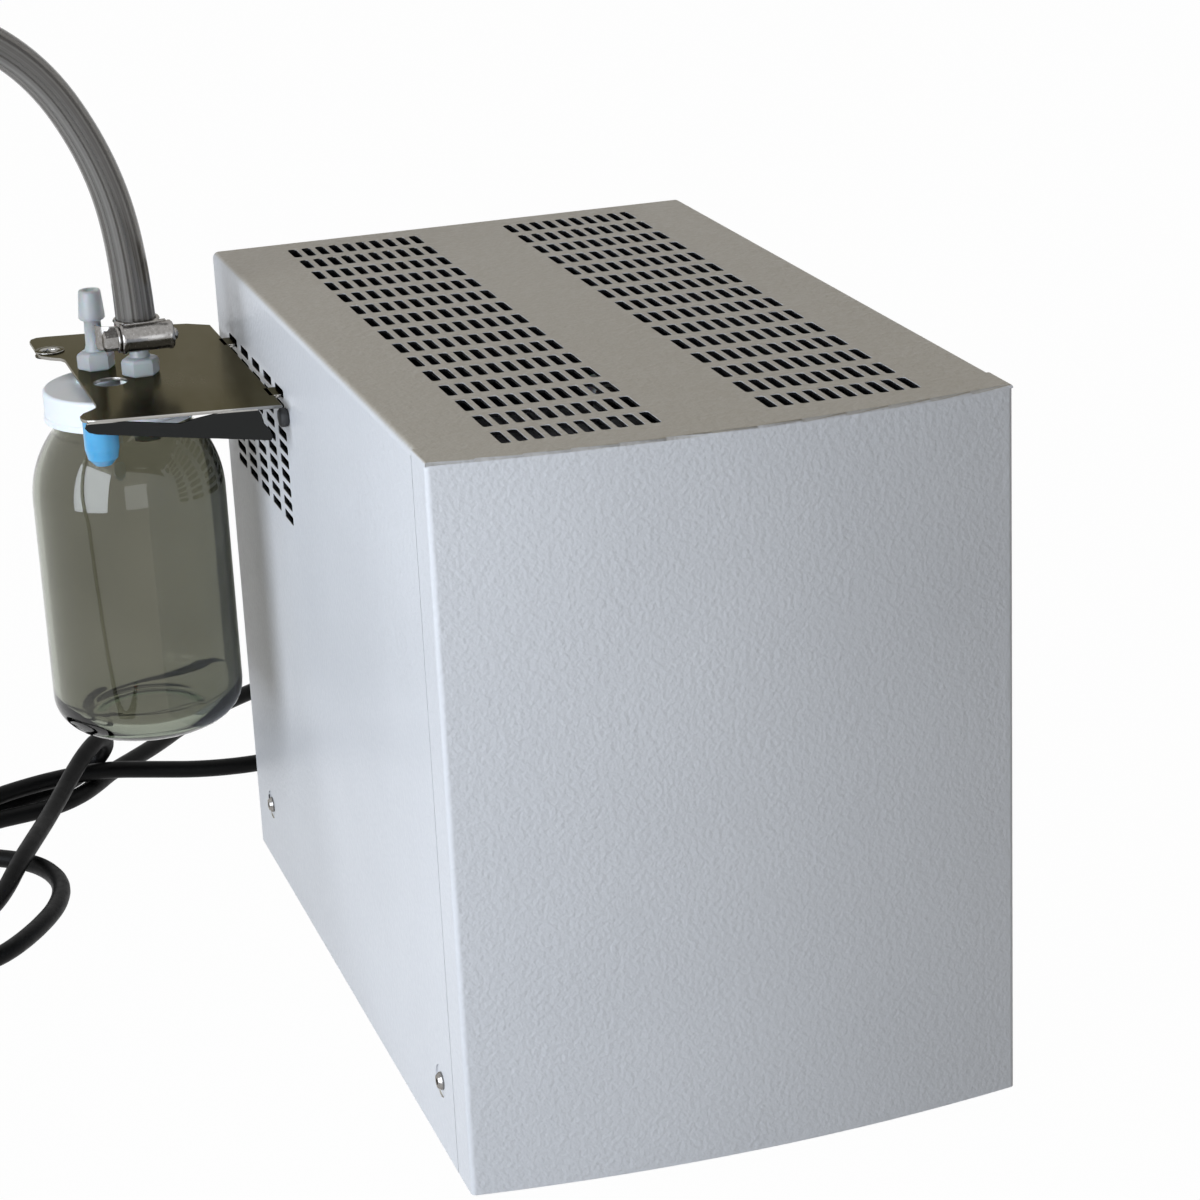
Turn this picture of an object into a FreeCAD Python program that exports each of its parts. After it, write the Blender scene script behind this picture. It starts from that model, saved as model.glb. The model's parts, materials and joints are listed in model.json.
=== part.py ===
import FreeCAD, Part
import math
import os
import re
import PartDesign
import Sketcher

# Laboratory diaphragm vacuum pump in a sheet-metal housing, with a glass catch jar on a side bracket.
# X runs to the right along the front, Y to the rear, Z up.  All sizes are in millimetres.
# The sheet's places are counted from the middle of the housing's footprint on the bench; every piece
# is then moved by shift_x and shift_y, which puts the origin under the middle of the whole pump.

os.makedirs("parts", exist_ok=True)
doc = FreeCAD.newDocument("VacuumPump")
sheet = doc.addObject("Spreadsheet::Sheet", "Sizes")

# Driving dimensions, by sub-assembly
SIZES = {
    # housing
    "case_w": 240, "case_d": 392, "case_rise": 309, "foot_rise": 4, "wall": 1.5, "bend": 3,
    "bow": 9.3, "return_w": 20, "seam": 0.6, "fit_gap": 0.3,
    # ventilation slots
    "slot_w": 4.2, "slot_l": 17.5, "slot_pitch_x": 6.7, "slot_pitch_y": 24.86, "slot_cols": 10,
    "slot_rows": 15, "bank_in": 24, "row_front": 21,
    "side_slot_rise": 4.1, "side_pitch_z": 6.63, "side_cols": 5, "side_rows": 10,
    "side_y": 62.5, "side_drop": 36,
    # chassis
    "chassis_rise": 50, "foot_r": 9, "foot_in": 32, "foot_hole_r": 2.2, "foot_dish_r": 5,
    "foot_dish": 1.6,
    # screws of the cover
    "screw_r": 2, "screw_hole_r": 2.2, "screw_head_r": 3.8, "screw_head": 2.2, "screw_len": 9,
    "socket_af": 2.5, "socket_deep": 1.3, "dimple_r": 7, "dimple": 0.7,
    "screw_front_y": -155, "screw_rear_y": 164, "screw_z": 36,
    # bracket of the jar
    "plate_t": 1.5, "plate_drop": 36, "plate_gap": 4, "plate_out": 80.5, "tab_out": 91,
    "plate_front": 40, "plate_skew": 10, "plate_rear": 190, "front_tab": 30, "rear_tab": 19, "tab_round": 6,
    "hook_w": 13.6, "hook_in": 4, "hook_drop": 7,
    "flange_rise": 17.6, "finger_rise": 5.2, "lens_gap": 3.7, "lens_wide": 64, "lens_in": 9,
    "tongue_w": 12, "tongue_rise": 16, "tongue_in": 9, "tongue_y": 19, "ring_r": 5.5, "ring_x": 202.5, "ring_y": 178,
    "spare_r": 7.8, "spare_x": 187.4, "spare_y": 113.7,
    "cap_r": 7.7, "cap_rise": 21, "cap_wall": 1.6, "pad_t": 3.2, "pad_w": 9,
    # jar, lid and fittings
    "jar_x": 181, "jar_y": 131, "jar_r": 47, "jar_wall": 3, "jar_base_z": 105, "jar_neck_r": 32,
    "jar_shoulder_z": 207, "jar_neck_z": 244, "jar_base_wall": 6, "jar_corner": 9,
    "jar_kick": 1.5, "jar_kick_r": 30, "lid_rim": 2.5, "lid_round": 1.5,
    "lid_r": 35.8, "lid_rise": 14.5, "lid_wall": 2, "lid_gap": 4, "seal_t": 1.5,
    "port_hex_af": 17.5, "port_hex": 10, "port_bore_r": 3, "port_stem_r": 4.2, "port_stem": 13,
    "barb_r": 6, "barb_tip_r": 5.2, "barb_len": 14, "port_shank_r": 6.5, "port_nut": 6,
    "open_port_x": 188.8, "open_port_y": 142.9, "hose_port_x": 171.7, "hose_port_y": 122,
    # hose and its clamp
    "hose_r": 8.1, "hose_bore_r": 5.2, "band_w": 12, "band_t": 0.8, "band_lift": 4.5,
    "worm_r": 5, "worm_len": 24.5, "worm_off": 14.4, "worm_head_af": 7, "worm_head": 6,
    "worm_core_r": 3.2, "band_tail": 16,
    # drive and pump heads
    "deck_w": 190, "deck_d": 300, "deck_t": 3, "mount_rise": 20, "mount_r": 12, "mount_x": 76,
    "mount_y": 120, "axis_z": 128, "motor_r": 52, "motor_len": 120, "bell_r": 46, "bell_t": 14,
    "fin_rise": 4, "fin_t": 2.5, "shaft_r": 8, "throw": 3, "eccentric_r": 16, "eccentric_t": 14,
    "crankcase_w": 92, "crankcase_d": 46, "crankcase_wall": 8, "crank_bore_r": 36,
    "crankcase_rise": 70, "rod_ring_r": 23, "rod_t": 12, "rod_shank_w": 12, "disc_r": 16,
    "disc_t": 7, "throat_r": 24, "membrane_t": 2.5, "head_t": 18, "head_cover_t": 16,
    "dish_r": 26, "dish": 11, "bolt_in": 9, "bolt_head_r": 5, "bolt_head": 6, "bolt_r": 3,
    "fan_hub_r": 16, "fan_r": 50, "fan_t": 18, "blade_t": 2, "fan_blades": 7, "shroud_gap": 3,
    "shroud_t": 2, "tube_r": 5, "tube_bore_r": 3.5, "elbow_r": 6.5, "elbow_len": 14, "exhaust_x": 22,
    "crank_cover_t": 4, "coupling_bore_r": 3, "lead_r": 3.95,
    "capacitor_r": 18, "capacitor_len": 80, "capacitor_x": 74, "strap_w": 14, "strap_t": 1.2,
    # rear ports, power inlet and rocker
    "rear_port_x": 70, "rear_port_z": 222, "inlet_w": 48, "inlet_rise": 58, "inlet_x": 62,
    "inlet_z": 62, "inlet_flange": 2.5, "inlet_deep": 32, "socket_w": 24.6, "socket_rise": 17,
    "socket_low": 8, "rocker_w": 13, "rocker_rise": 16, "rocker_deep": 7, "rocker_z": 18,
}
BLADE_TILT = 35
# Sizes that follow from the driving ones
DERIVED = {
    "half_w": "case_w / 2", "half_d": "case_d / 2", "top_z": "foot_rise + case_rise",
    "bow_r": "case_w * case_w / (8 * bow) + bow / 2", "bow_y": "bow_r - bow - half_d",
    "inside_w": "half_w - wall", "floor_z": "foot_rise + wall",
    "plate_z": "top_z - plate_drop", "lid_top": "plate_z - plate_t - lid_gap",
    "lid_low": "lid_top - lid_rise", "jar_lip": "lid_top - lid_wall - seal_t - fit_gap",
    "port_top": "port_hex + port_stem + barb_len",
    "port_out": "port_hex + port_stem + barb_len",
    "deck_z": "floor_z + mount_rise", "deck_top": "deck_z + deck_t",
    "case_y": "motor_len / 2 + bell_t", "case_far": "case_y + crankcase_d",
    "case_mid": "case_y + crankcase_d / 2", "case_top": "axis_z + crankcase_rise",
    "head_z": "case_top + membrane_t", "cover_z": "head_z + head_t",
    "fan_y": "case_far + 8", "blade_root": "fan_hub_r - 3", "shroud_out": "fan_r + shroud_gap + shroud_t", "shift_x": "(jar_x + jar_r - half_w - screw_head + dimple) / 2",
    "shift_y": "(bow - port_out) / 2",
}


def fill_sheet():
    for row, (name, value) in enumerate(SIZES.items(), 1):
        sheet.set("A%d" % row, name)
        sheet.set("B%d" % row, str(value))
        sheet.setAlias("B%d" % row, name)
    for row, (name, formula) in enumerate(DERIVED.items(), len(SIZES) + 2):
        sheet.set("A%d" % row, name)
        sheet.set("B%d" % row, "=" + formula)
        sheet.setAlias("B%d" % row, name)
    doc.recompute()


def ex(text):
    """A formula in the sheet's names, as an expression of the document."""
    known = lambda word: word in SIZES or word in DERIVED
    return re.sub(r"[a-z]\w*", lambda found: "Sizes." * known(found.group()) + found.group(), text)


def num(text):
    return float(sheet.evalExpression(ex(text)))


fill_sheet()
NODES = {}
PLACES = {}
TURNS = {
    "z": FreeCAD.Rotation(),
    "-z": FreeCAD.Rotation(FreeCAD.Vector(1, 0, 0), 180),
    "x": FreeCAD.Rotation(FreeCAD.Vector(0, 1, 0), 90),
    "-x": FreeCAD.Rotation(FreeCAD.Vector(0, 1, 0), -90),
    "y": FreeCAD.Rotation(FreeCAD.Vector(1, 0, 0), -90),
    "-y": FreeCAD.Rotation(FreeCAD.Vector(1, 0, 0), 90),
}
NOWHERE = ("0", "0", "0")


def put(obj, at, axis="z"):
    """Places an object at three formulas, with its own Z turned to an axis."""
    obj.Placement = FreeCAD.Placement(FreeCAD.Vector(), TURNS[axis])
    for letter, text in zip("xyz", at):
        obj.setExpression("Placement.Base." + letter, ex(text))
    PLACES[obj.Name] = at
    return obj


def node(name, obj):
    """Makes an object one of the pump's pieces."""
    x, y, z = PLACES.get(obj.Name, NOWHERE)
    obj.setExpression("Placement.Base.x", ex("%s + shift_x" % x))
    obj.setExpression("Placement.Base.y", ex("%s + shift_y" % y))
    obj.setExpression("Placement.Base.z", ex(z))
    obj.Label = name
    NODES[name] = obj
    return obj


def box(name, size, at):
    obj = doc.addObject("Part::Box", name)
    for prop, text in zip(("Length", "Width", "Height"), size):
        obj.setExpression(prop, ex(text))
    return put(obj, at)


def rod(name, radius, length, at, axis="z"):
    obj = doc.addObject("Part::Cylinder", name)
    obj.setExpression("Radius", ex(radius))
    obj.setExpression("Height", ex(length))
    return put(obj, at, axis)


def cone(name, low, high, length, at, axis="z"):
    obj = doc.addObject("Part::Cone", name)
    obj.setExpression("Radius1", ex(low))
    obj.setExpression("Radius2", ex(high))
    obj.setExpression("Height", ex(length))
    return put(obj, at, axis)


def hexagon(name, across, length, at, axis="z"):
    """A hexagonal bar; across is measured over its flats."""
    obj = doc.addObject("Part::Prism", name)
    obj.Polygon = 6
    obj.setExpression("Circumradius", ex("(%s) / sqrt(3)" % across))
    obj.setExpression("Height", ex(length))
    return put(obj, at, axis)


def fuse(name, shapes):
    obj = doc.addObject("Part::MultiFuse", name)
    obj.Shapes = shapes
    return obj


def cut(name, base, tools):
    obj = doc.addObject("Part::Cut", name)
    obj.Base = base
    obj.Tool = tools[0] if len(tools) == 1 else fuse(name + "_tool", tools)
    return obj


def group(name, shapes):
    """Several equal loose solids that share one node."""
    obj = doc.addObject("Part::Compound", name)
    obj.Links = shapes
    return obj


def origin_item(body, role):
    return [item for item in body.Origin.OriginFeatures if item.Role == role][0]


def arc_between(start, end, radius, turn):
    """The short arc from start to end; turn is ccw or cw."""
    half = (end - start) / 2
    rise = math.sqrt(max(radius ** 2 - half.Length ** 2, 0))
    side = FreeCAD.Vector(-half.y, half.x, 0).normalize()
    centre = start + half + side * (rise if turn == "ccw" else -rise)
    first, last = (start, end) if turn == "ccw" else (end, start)
    angles = [math.atan2(p.y - centre.y, p.x - centre.x) for p in (first, last)]
    circle = Part.Circle(centre, FreeCAD.Vector(0, 0, 1), radius)
    return Part.ArcOfCircle(circle, angles[0], angles[1])


def sketch(body, name, role, loops, start="0"):
    """A sketch of closed loops.  A loop is a list of points, each two formulas; a third item on a
    point is the radius of an arc from it to the next point, and a fourth its turn."""
    sk = body.newObject("Sketcher::SketchObject", name)
    sk.AttachmentSupport = (origin_item(body, role), [""])
    sk.MapMode = "FlatFace"
    sk.setExpression("AttachmentOffset.Base.z", ex(start))
    for loop in loops:
        if loop[0] == "circle":
            ring(sk, *loop[1:])
            continue
        points = [FreeCAD.Vector(num(p[0]), num(p[1]), 0) for p in loop]
        ends = []
        for i, p in enumerate(loop):
            here, there = points[i], points[(i + 1) % len(points)]
            if len(p) == 4:
                geo = sk.addGeometry(arc_between(here, there, num(p[2]), p[3]), False)
                ends.append((geo, 1, 2) if p[3] == "ccw" else (geo, 2, 1))
                at = sk.addConstraint(Sketcher.Constraint("Radius", geo, num(p[2])))
                sk.setExpression("Constraints[%d]" % at, ex(p[2]))
            else:
                geo = sk.addGeometry(Part.LineSegment(here, there), False)
                ends.append((geo, 1, 2))
        for i, (geo, _, last) in enumerate(ends):
            following = ends[(i + 1) % len(ends)]
            sk.addConstraint(
                Sketcher.Constraint("Coincident", geo, last, following[0], following[1])
            )
        for (geo, first, _), p in zip(ends, loop):
            fix(sk, geo, first, p)
    return sk


def fix(sk, geo, spot, place):
    for kind, text in (("DistanceX", place[0]), ("DistanceY", place[1])):
        at = sk.addConstraint(Sketcher.Constraint(kind, -1, 1, geo, spot, num(text)))
        sk.setExpression("Constraints[%d]" % at, ex(text))


def ring(sk, x, y, radius):
    centre = FreeCAD.Vector(num(x), num(y), 0)
    geo = sk.addGeometry(Part.Circle(centre, FreeCAD.Vector(0, 0, 1), num(radius)), False)
    at = sk.addConstraint(Sketcher.Constraint("Radius", geo, num(radius)))
    sk.setExpression("Constraints[%d]" % at, ex(radius))
    fix(sk, geo, 3, (x, y))


def pad(body, name, profile, length, reverse=False):
    feature = body.newObject("PartDesign::Pad", name)
    feature.Profile = profile
    feature.Reversed = reverse
    feature.setExpression("Length", ex(length))
    return feature


def pocket(body, name, profile, length, reverse=False):
    feature = body.newObject("PartDesign::Pocket", name)
    feature.Profile = profile
    feature.Reversed = reverse
    feature.setExpression("Length", ex(length))
    return feature


def new_body(name):
    return doc.addObject("PartDesign::Body", name)


def lathe(name, profile, at=NOWHERE, axis="z"):
    """A turned piece: the profile's points are radius and height."""
    body = new_body(name)
    outline = sketch(body, name + "_profile", "XZ_Plane", [profile])
    turned = body.newObject("PartDesign::Revolution", name + "_turned")
    turned.Profile = outline
    turned.ReferenceAxis = (outline, ["V_Axis"])
    turned.Angle = 360
    return put(body, at, axis)


def prism(name, loops, length, at=NOWHERE, axis="z"):
    """A straight piece: a flat outline padded along its own Z."""
    body = new_body(name)
    pad(body, name + "_pad", sketch(body, name + "_outline", "XY_Plane", loops), length)
    return put(body, at, axis)


def rectangle(x0, y0, x1, y1):
    return [(x0, y0), (x1, y0), (x1, y1), (x0, y1)]


def pattern(body, name, original, steps):
    """Repeats a feature along one or two of the body's axes; a step is axis, pitch and count."""
    repeat = body.newObject("PartDesign::MultiTransform", name)
    repeat.Originals = [original]
    lines = []
    for axis, pitch, count, back in steps:
        line = body.newObject("PartDesign::LinearPattern", name + axis)
        line.Direction = (origin_item(body, axis + "_Axis"), [""])
        line.Reversed = back
        line.setExpression("Length", ex("(%s - 1) * %s" % (count, pitch)))
        line.setExpression("Occurrences", ex(count))
        lines.append(line)
    repeat.Transformations = lines
    body.Tip = repeat
    return repeat


def edges_where(shape, test):
    """The names of a shape's edges whose middle passes a test."""
    names = []
    for number, edge in enumerate(shape.Edges, 1):
        if test(edge, edge.CenterOfMass):
            names.append("Edge%d" % number)
    return names


def round_off(body, name, base, test, radius):
    doc.recompute()
    feature = body.newObject("PartDesign::Fillet", name)
    feature.Base = (base, edges_where(base.Shape, test))
    feature.setExpression("Radius", ex(radius))
    body.Tip = feature
    doc.recompute()
    return feature


def near(value, text):
    return abs(value - num(text)) < 0.01


# Housing: cover, front panel, rear panel and chassis

def bow_line(name_x, inset, turn):
    """The bowed front line from one side to the other, inset from the outer face."""
    depth = "bow_y - sqrt((bow_r - %s) * (bow_r - %s) - (%s) * (%s))" % (inset, inset, name_x, name_x)
    return depth, "bow_r - " + inset, turn


def make_cover():
    """A sheet bent down at both sides; its top runs on to the bowed front."""
    body = new_body("cover_body")
    bent = [
        ("-half_w", "foot_rise"), ("-half_w", "top_z"), ("half_w", "top_z"), ("half_w", "foot_rise"),
        ("inside_w", "foot_rise"), ("inside_w", "top_z - wall"), ("-inside_w", "top_z - wall"),
        ("-inside_w", "foot_rise"),
    ]
    outline = sketch(body, "cover_bend", "XZ_Plane", [bent], "half_d - return_w - seam")
    sides = pad(body, "cover_sheet", outline, "case_d - return_w - seam", True)
    for name, across, up, radius in (
        ("outer_bend", "half_w", "top_z", "bend"),
        ("inner_bend", "inside_w", "top_z - wall", "bend - wall"),
    ):
        test = lambda edge, mid: near(abs(mid.x), across) and near(mid.z, up)
        sides = round_off(body, name, sides, test, radius)
    rear = "-half_d + return_w + seam"
    depth = bow_line("half_w", "0", "ccw")[0]
    nose = [("-half_w", rear), ("-half_w", depth, "bow_r", "ccw"), ("half_w", depth), ("half_w", rear)]
    top = sketch(body, "cover_nose", "XY_Plane", [nose], "top_z - wall")
    front = pad(body, "cover_front", top, "wall")
    test = lambda edge, mid: near(mid.z, "top_z") and mid.y < num(rear) - 1
    front = round_off(body, "nose_edge", front, test, "wall * 0.8")
    spots = [("circle", y, "screw_z", "screw_hole_r") for y in ("screw_front_y", "screw_rear_y")]
    pocket(body, "screw_holes", sketch(body, "screw_spots", "YZ_Plane", spots, "half_w + wall"),
           "case_w + 2 * wall")
    dimples = [("circle", y, "screw_z", "dimple_r") for y in ("screw_front_y", "screw_rear_y")]
    pocket(body, "dimples_right", sketch(body, "dimples_r", "YZ_Plane", dimples, "half_w"), "dimple")
    pocket(body, "dimples_left", sketch(body, "dimples_l", "YZ_Plane", dimples, "-half_w"), "dimple",
           True)
    high = "top_z - side_drop"
    slot = rectangle("side_y - slot_l / 2", high + " - side_slot_rise / 2",
                     "side_y + slot_l / 2", high + " + side_slot_rise / 2")
    cutter = sketch(body, "side_slots", "YZ_Plane", [slot], "half_w + wall")
    one = pocket(body, "side_slot", cutter, "case_w + 2 * wall")
    pattern(body, "side_vents", one,
            [("Y", "slot_pitch_y", "side_cols", False), ("Z", "side_pitch_z", "side_rows", True)])
    first = "-half_d + row_front"
    slots = [
        rectangle("%s - slot_w / 2" % x, first + " - slot_l / 2", "%s + slot_w / 2" % x,
                  first + " + slot_l / 2")
        for x in ("-bank_in - (slot_cols - 1) * slot_pitch_x", "bank_in")
    ]
    one = pocket(body, "top_slot", sketch(body, "top_slots", "XY_Plane", slots, "top_z"), "2 * wall")
    pattern(body, "top_vents", one,
            [("X", "slot_pitch_x", "slot_cols", False), ("Y", "slot_pitch_y", "slot_rows", False)])
    return node("housing_cover", body)


def make_front():
    """The bowed front with its two side returns, under the cover's top sheet."""
    body = new_body("front_body")
    inner = bow_line("inside_w", "wall", "cw")[0]
    end = "-half_d + return_w"
    plan = [
        ("-half_w", "-half_d", "bow_r", "ccw"), ("half_w", "-half_d"), ("half_w", end),
        ("inside_w", end), ("inside_w", inner, "bow_r - wall", "cw"), ("-inside_w", inner),
        ("-inside_w", end), ("-half_w", end),
    ]
    outline = sketch(body, "front_plan", "XY_Plane", [plan], "foot_rise")
    sheet_pad = pad(body, "front_sheet", outline, "case_rise - wall")
    test = lambda edge, mid: near(abs(mid.x), "half_w") and near(mid.y, "-half_d")
    round_off(body, "front_bends", sheet_pad, test, "bend - seam")
    return node("front_panel", body)


def make_rear():
    """The flat rear panel, with the holes for the ports and the power inlet."""
    loops = [
        [("-inside_w", "foot_rise"), ("inside_w", "foot_rise"), ("inside_w", "top_z - wall - bend"),
         ("inside_w - bend", "top_z - wall"), ("-inside_w + bend", "top_z - wall"),
         ("-inside_w", "top_z - wall - bend")],
        rectangle("inlet_x - inlet_w / 2 + 3", "inlet_z - inlet_rise / 2 + 3",
                  "inlet_x + inlet_w / 2 - 3", "inlet_z + inlet_rise / 2 - 3"),
        ("circle", "rear_port_x", "rear_port_z", "port_shank_r"),
        ("circle", "-rear_port_x", "rear_port_z", "port_shank_r"),
    ]
    body = new_body("rear_body")
    outline = sketch(body, "rear_outline", "XZ_Plane", loops, "-half_d + wall")
    pad(body, "rear_sheet", outline, "wall", True)
    return node("rear_panel", body)


def make_chassis():
    """The floor pan with its upturned sides, to which the cover is screwed."""
    body = new_body("chassis_body")
    pan = [
        ("-inside_w", "foot_rise"), ("inside_w", "foot_rise"), ("inside_w", "foot_rise + chassis_rise"),
        ("inside_w - wall", "foot_rise + chassis_rise"), ("inside_w - wall", "floor_z"),
        ("-inside_w + wall", "floor_z"), ("-inside_w + wall", "foot_rise + chassis_rise"),
        ("-inside_w", "foot_rise + chassis_rise"),
    ]
    outline = sketch(body, "pan_bend", "XZ_Plane", [pan], "half_d - return_w - seam")
    pad(body, "pan_sheet", outline, "case_d - return_w - seam - wall", True)
    spots = [("circle", y, "screw_z", "screw_hole_r") for y in ("screw_front_y", "screw_rear_y")]
    pocket(body, "pan_screw_holes", sketch(body, "pan_screws", "YZ_Plane", spots, "half_w"), "case_w")
    feet = [
        ("circle", x + "(half_w - foot_in)", y + "(half_d - foot_in)", "foot_hole_r")
        for x in ("", "-") for y in ("", "-")
    ]
    pocket(body, "foot_holes", sketch(body, "foot_spots", "XY_Plane", feet, "floor_z"), "2 * wall")
    return node("base_chassis", body)



# Feet and the cover's screws

def make_feet():
    feet, screws = [], []
    for i, (sx, sy) in enumerate([("", ""), ("-", ""), ("", "-"), ("-", "-")]):
        x, y = sx + "(half_w - foot_in)", sy + "(half_d - foot_in)"
        foot = [
            ("foot_hole_r", "foot_dish"), ("foot_dish_r", "foot_dish"), ("foot_dish_r", "0"),
            ("foot_r - 1", "0"), ("foot_r", "1"), ("foot_r - 0.5", "foot_rise"),
            ("foot_hole_r", "foot_rise"),
        ]
        feet.append(lathe("foot_%d" % i, foot, (x, y, "0")))
        screw = [
            ("0", "0"), ("screw_head_r", "0"), ("screw_head_r", "screw_head / 2"),
            ("screw_r", "screw_head / 2"), ("screw_r", "foot_rise + 2"), ("0", "foot_rise + 2"),
        ]
        screws.append(lathe("foot_screw_%d" % i, screw, (x, y, "foot_dish - screw_head / 2")))
    node("rubber_feet", group("feet", feet))
    node("foot_screws", group("foot_screw_set", screws))


def socket_screw(name, at, axis, length):
    """A button-head screw with a hexagon socket; at is the seat of its head."""
    head = [
        ("0", "0"), ("screw_head_r", "0"), ("screw_head_r", "screw_head * 0.35"),
        ("screw_head_r * 0.72", "screw_head"), ("0", "screw_head"),
    ]
    shank = "-" + length
    profile = [("0", shank), ("screw_r", shank), ("screw_r", "0")] + head[1:]
    key = hexagon(name + "_key", "socket_af", "socket_deep + 1", ("0", "0", "screw_head - socket_deep"))
    return put(cut(name, lathe(name + "_blank", profile), [key]), at, axis)


def make_cover_screws():
    screws = []
    for side, axis in (("-", "-x"), ("", "x")):
        for y in ("screw_front_y", "screw_rear_y"):
            at = (side + "(half_w - dimple)", y, "screw_z")
            screws.append(socket_screw("cover_screw_%d" % len(screws), at, axis, "screw_len"))
    node("cover_screws", group("cover_screw_set", screws))


# Bracket, its cap and pad

def make_bracket():
    """A plate hooked into two side slots, with a folded front flange drawn out to a finger."""
    inner, notch, tab = "-half_w - plate_gap", "-half_w - plate_out", "-half_w - tab_out"
    skewed = "plate_front + plate_skew"
    outline = [
        (inner, "plate_front"), (inner, "plate_rear"),
        (tab + " + tab_round", "plate_rear"), (tab, "plate_rear - tab_round"),
        (tab, "plate_rear - rear_tab + 2"), (tab + " + 2", "plate_rear - rear_tab"),
        (notch, "plate_rear - rear_tab - 2"), (notch, "plate_front + front_tab + 2"),
        (tab + " + 2", "plate_front + front_tab"), (tab, "plate_front + front_tab - 2"),
        (tab, skewed + " + tab_round"), (tab + " + tab_round", skewed),
    ]
    holes = [
        ("circle", "-spare_x", "spare_y", "spare_r"), ("circle", "-ring_x", "ring_y", "ring_r"),
        ("circle", "-open_port_x", "open_port_y", "port_shank_r + 0.1"),
        ("circle", "-hose_port_x", "hose_port_y", "port_shank_r + 0.1"),
    ]
    low = "plate_z - plate_t"
    pieces = [prism("bracket_plate", [outline] + holes, "plate_t", ("0", "0", low))]
    for i, y in enumerate(("side_y", "side_y + (side_cols - 1) * slot_pitch_y")):
        corner = (inner, "%s - hook_w / 2" % y, low)
        long = "plate_gap + wall + fit_gap + plate_t"
        pieces.append(box("hook_neck_%d" % i, (long, "hook_w", "plate_t"), corner))
        corner = ("-inside_w + fit_gap", "%s - hook_w / 2" % y, low + " - hook_drop")
        pieces.append(box("hook_%d" % i, ("plate_t", "hook_w", "hook_drop"), corner))
    skew = math.degrees(math.atan2(num("plate_skew"), num("tab_out - plate_gap")))
    reach = "(tab_out - plate_gap)"
    side = [
        ("0", "-plate_t"), ("0", "-flange_rise"), ("-%s * 0.36" % reach, "-flange_rise * 0.78"),
        ("-%s * 0.86" % reach, "-finger_rise * 1.48"), ("-%s + 2.5" % reach, "-finger_rise"),
        ("-" + reach, "-finger_rise * 0.6"), ("-%s + 1.5" % reach, "-plate_t"),
        ("-%s + lens_in" % reach, "-plate_t"), ("-%s + lens_in * 2.2" % reach, "-plate_t * 1.9"),
        ("-%s + lens_in + lens_wide * 0.55" % reach, "-plate_t - lens_gap"),
        ("-%s + lens_in + lens_wide * 0.9" % reach, "-plate_t * 1.5"),
        ("-%s + lens_in + lens_wide" % reach, "-plate_t"),
    ]
    flange = prism("bracket_flange", [side], "plate_t")
    turn = FreeCAD.Rotation(FreeCAD.Vector(0, 0, 1), -skew) * TURNS["-y"]
    corner = FreeCAD.Vector(num(inner), num("plate_front + plate_t"), num("plate_z"))
    flange.Placement = FreeCAD.Placement(corner, turn)
    for letter, text in zip("xyz", (inner, "plate_front + plate_t", "plate_z")):
        flange.setExpression("Placement.Base." + letter, ex(text))
    pieces.append(flange)
    tongue = ("-half_w - tab_out + tongue_in - tongue_w / 2", "plate_front + tongue_y - plate_t / 2",
              low + " - tongue_rise")
    pieces.append(box("tongue", ("tongue_w", "plate_t", "tongue_rise"), tongue))
    node("jar_bracket", fuse("bracket", pieces))
    cap = [
        ("0", "-cap_rise"), ("cap_r * 0.5", "-cap_rise"), ("cap_r * 0.87", "-cap_rise + cap_r * 0.4"),
        ("cap_r", "-cap_rise + cap_r"), ("cap_r", "0"), ("cap_r - cap_wall", "0"),
        ("cap_r - cap_wall", "-tongue_rise - 1"), ("0", "-tongue_rise - 1"),
    ]
    at = ("-half_w - tab_out + tongue_in", "plate_front + tongue_y", low)
    node("tongue_cap", lathe("cap", cap, at))
    size = ("plate_gap", "pad_w", "flange_rise - plate_t - pad_t")
    at = (inner, "plate_front + plate_t", "plate_z - flange_rise + pad_t")
    node("wall_pad", box("pad", size, at))
    grommet = [
        ("ring_r - 1.2", "-0.6"), ("ring_r + 1.4", "-0.6"), ("ring_r + 1.4", "0"), ("ring_r", "0"),
        ("ring_r", "plate_t"), ("ring_r + 1.4", "plate_t"), ("ring_r + 1.4", "plate_t + 0.6"),
        ("ring_r - 1.2", "plate_t + 0.6"),
    ]
    node("bracket_eyelet", lathe("eyelet", grommet, ("-ring_x", "ring_y", low)))


# Jar, lid and the two fittings in the lid

def port_holes(name, radius, low, high):
    return [
        rod(name + tag, radius, "%s - (%s)" % (high, low), (x, y, low))
        for tag, x, y in (("_a", "-open_port_x", "open_port_y"), ("_b", "-hose_port_x", "hose_port_y"))
    ]


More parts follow.
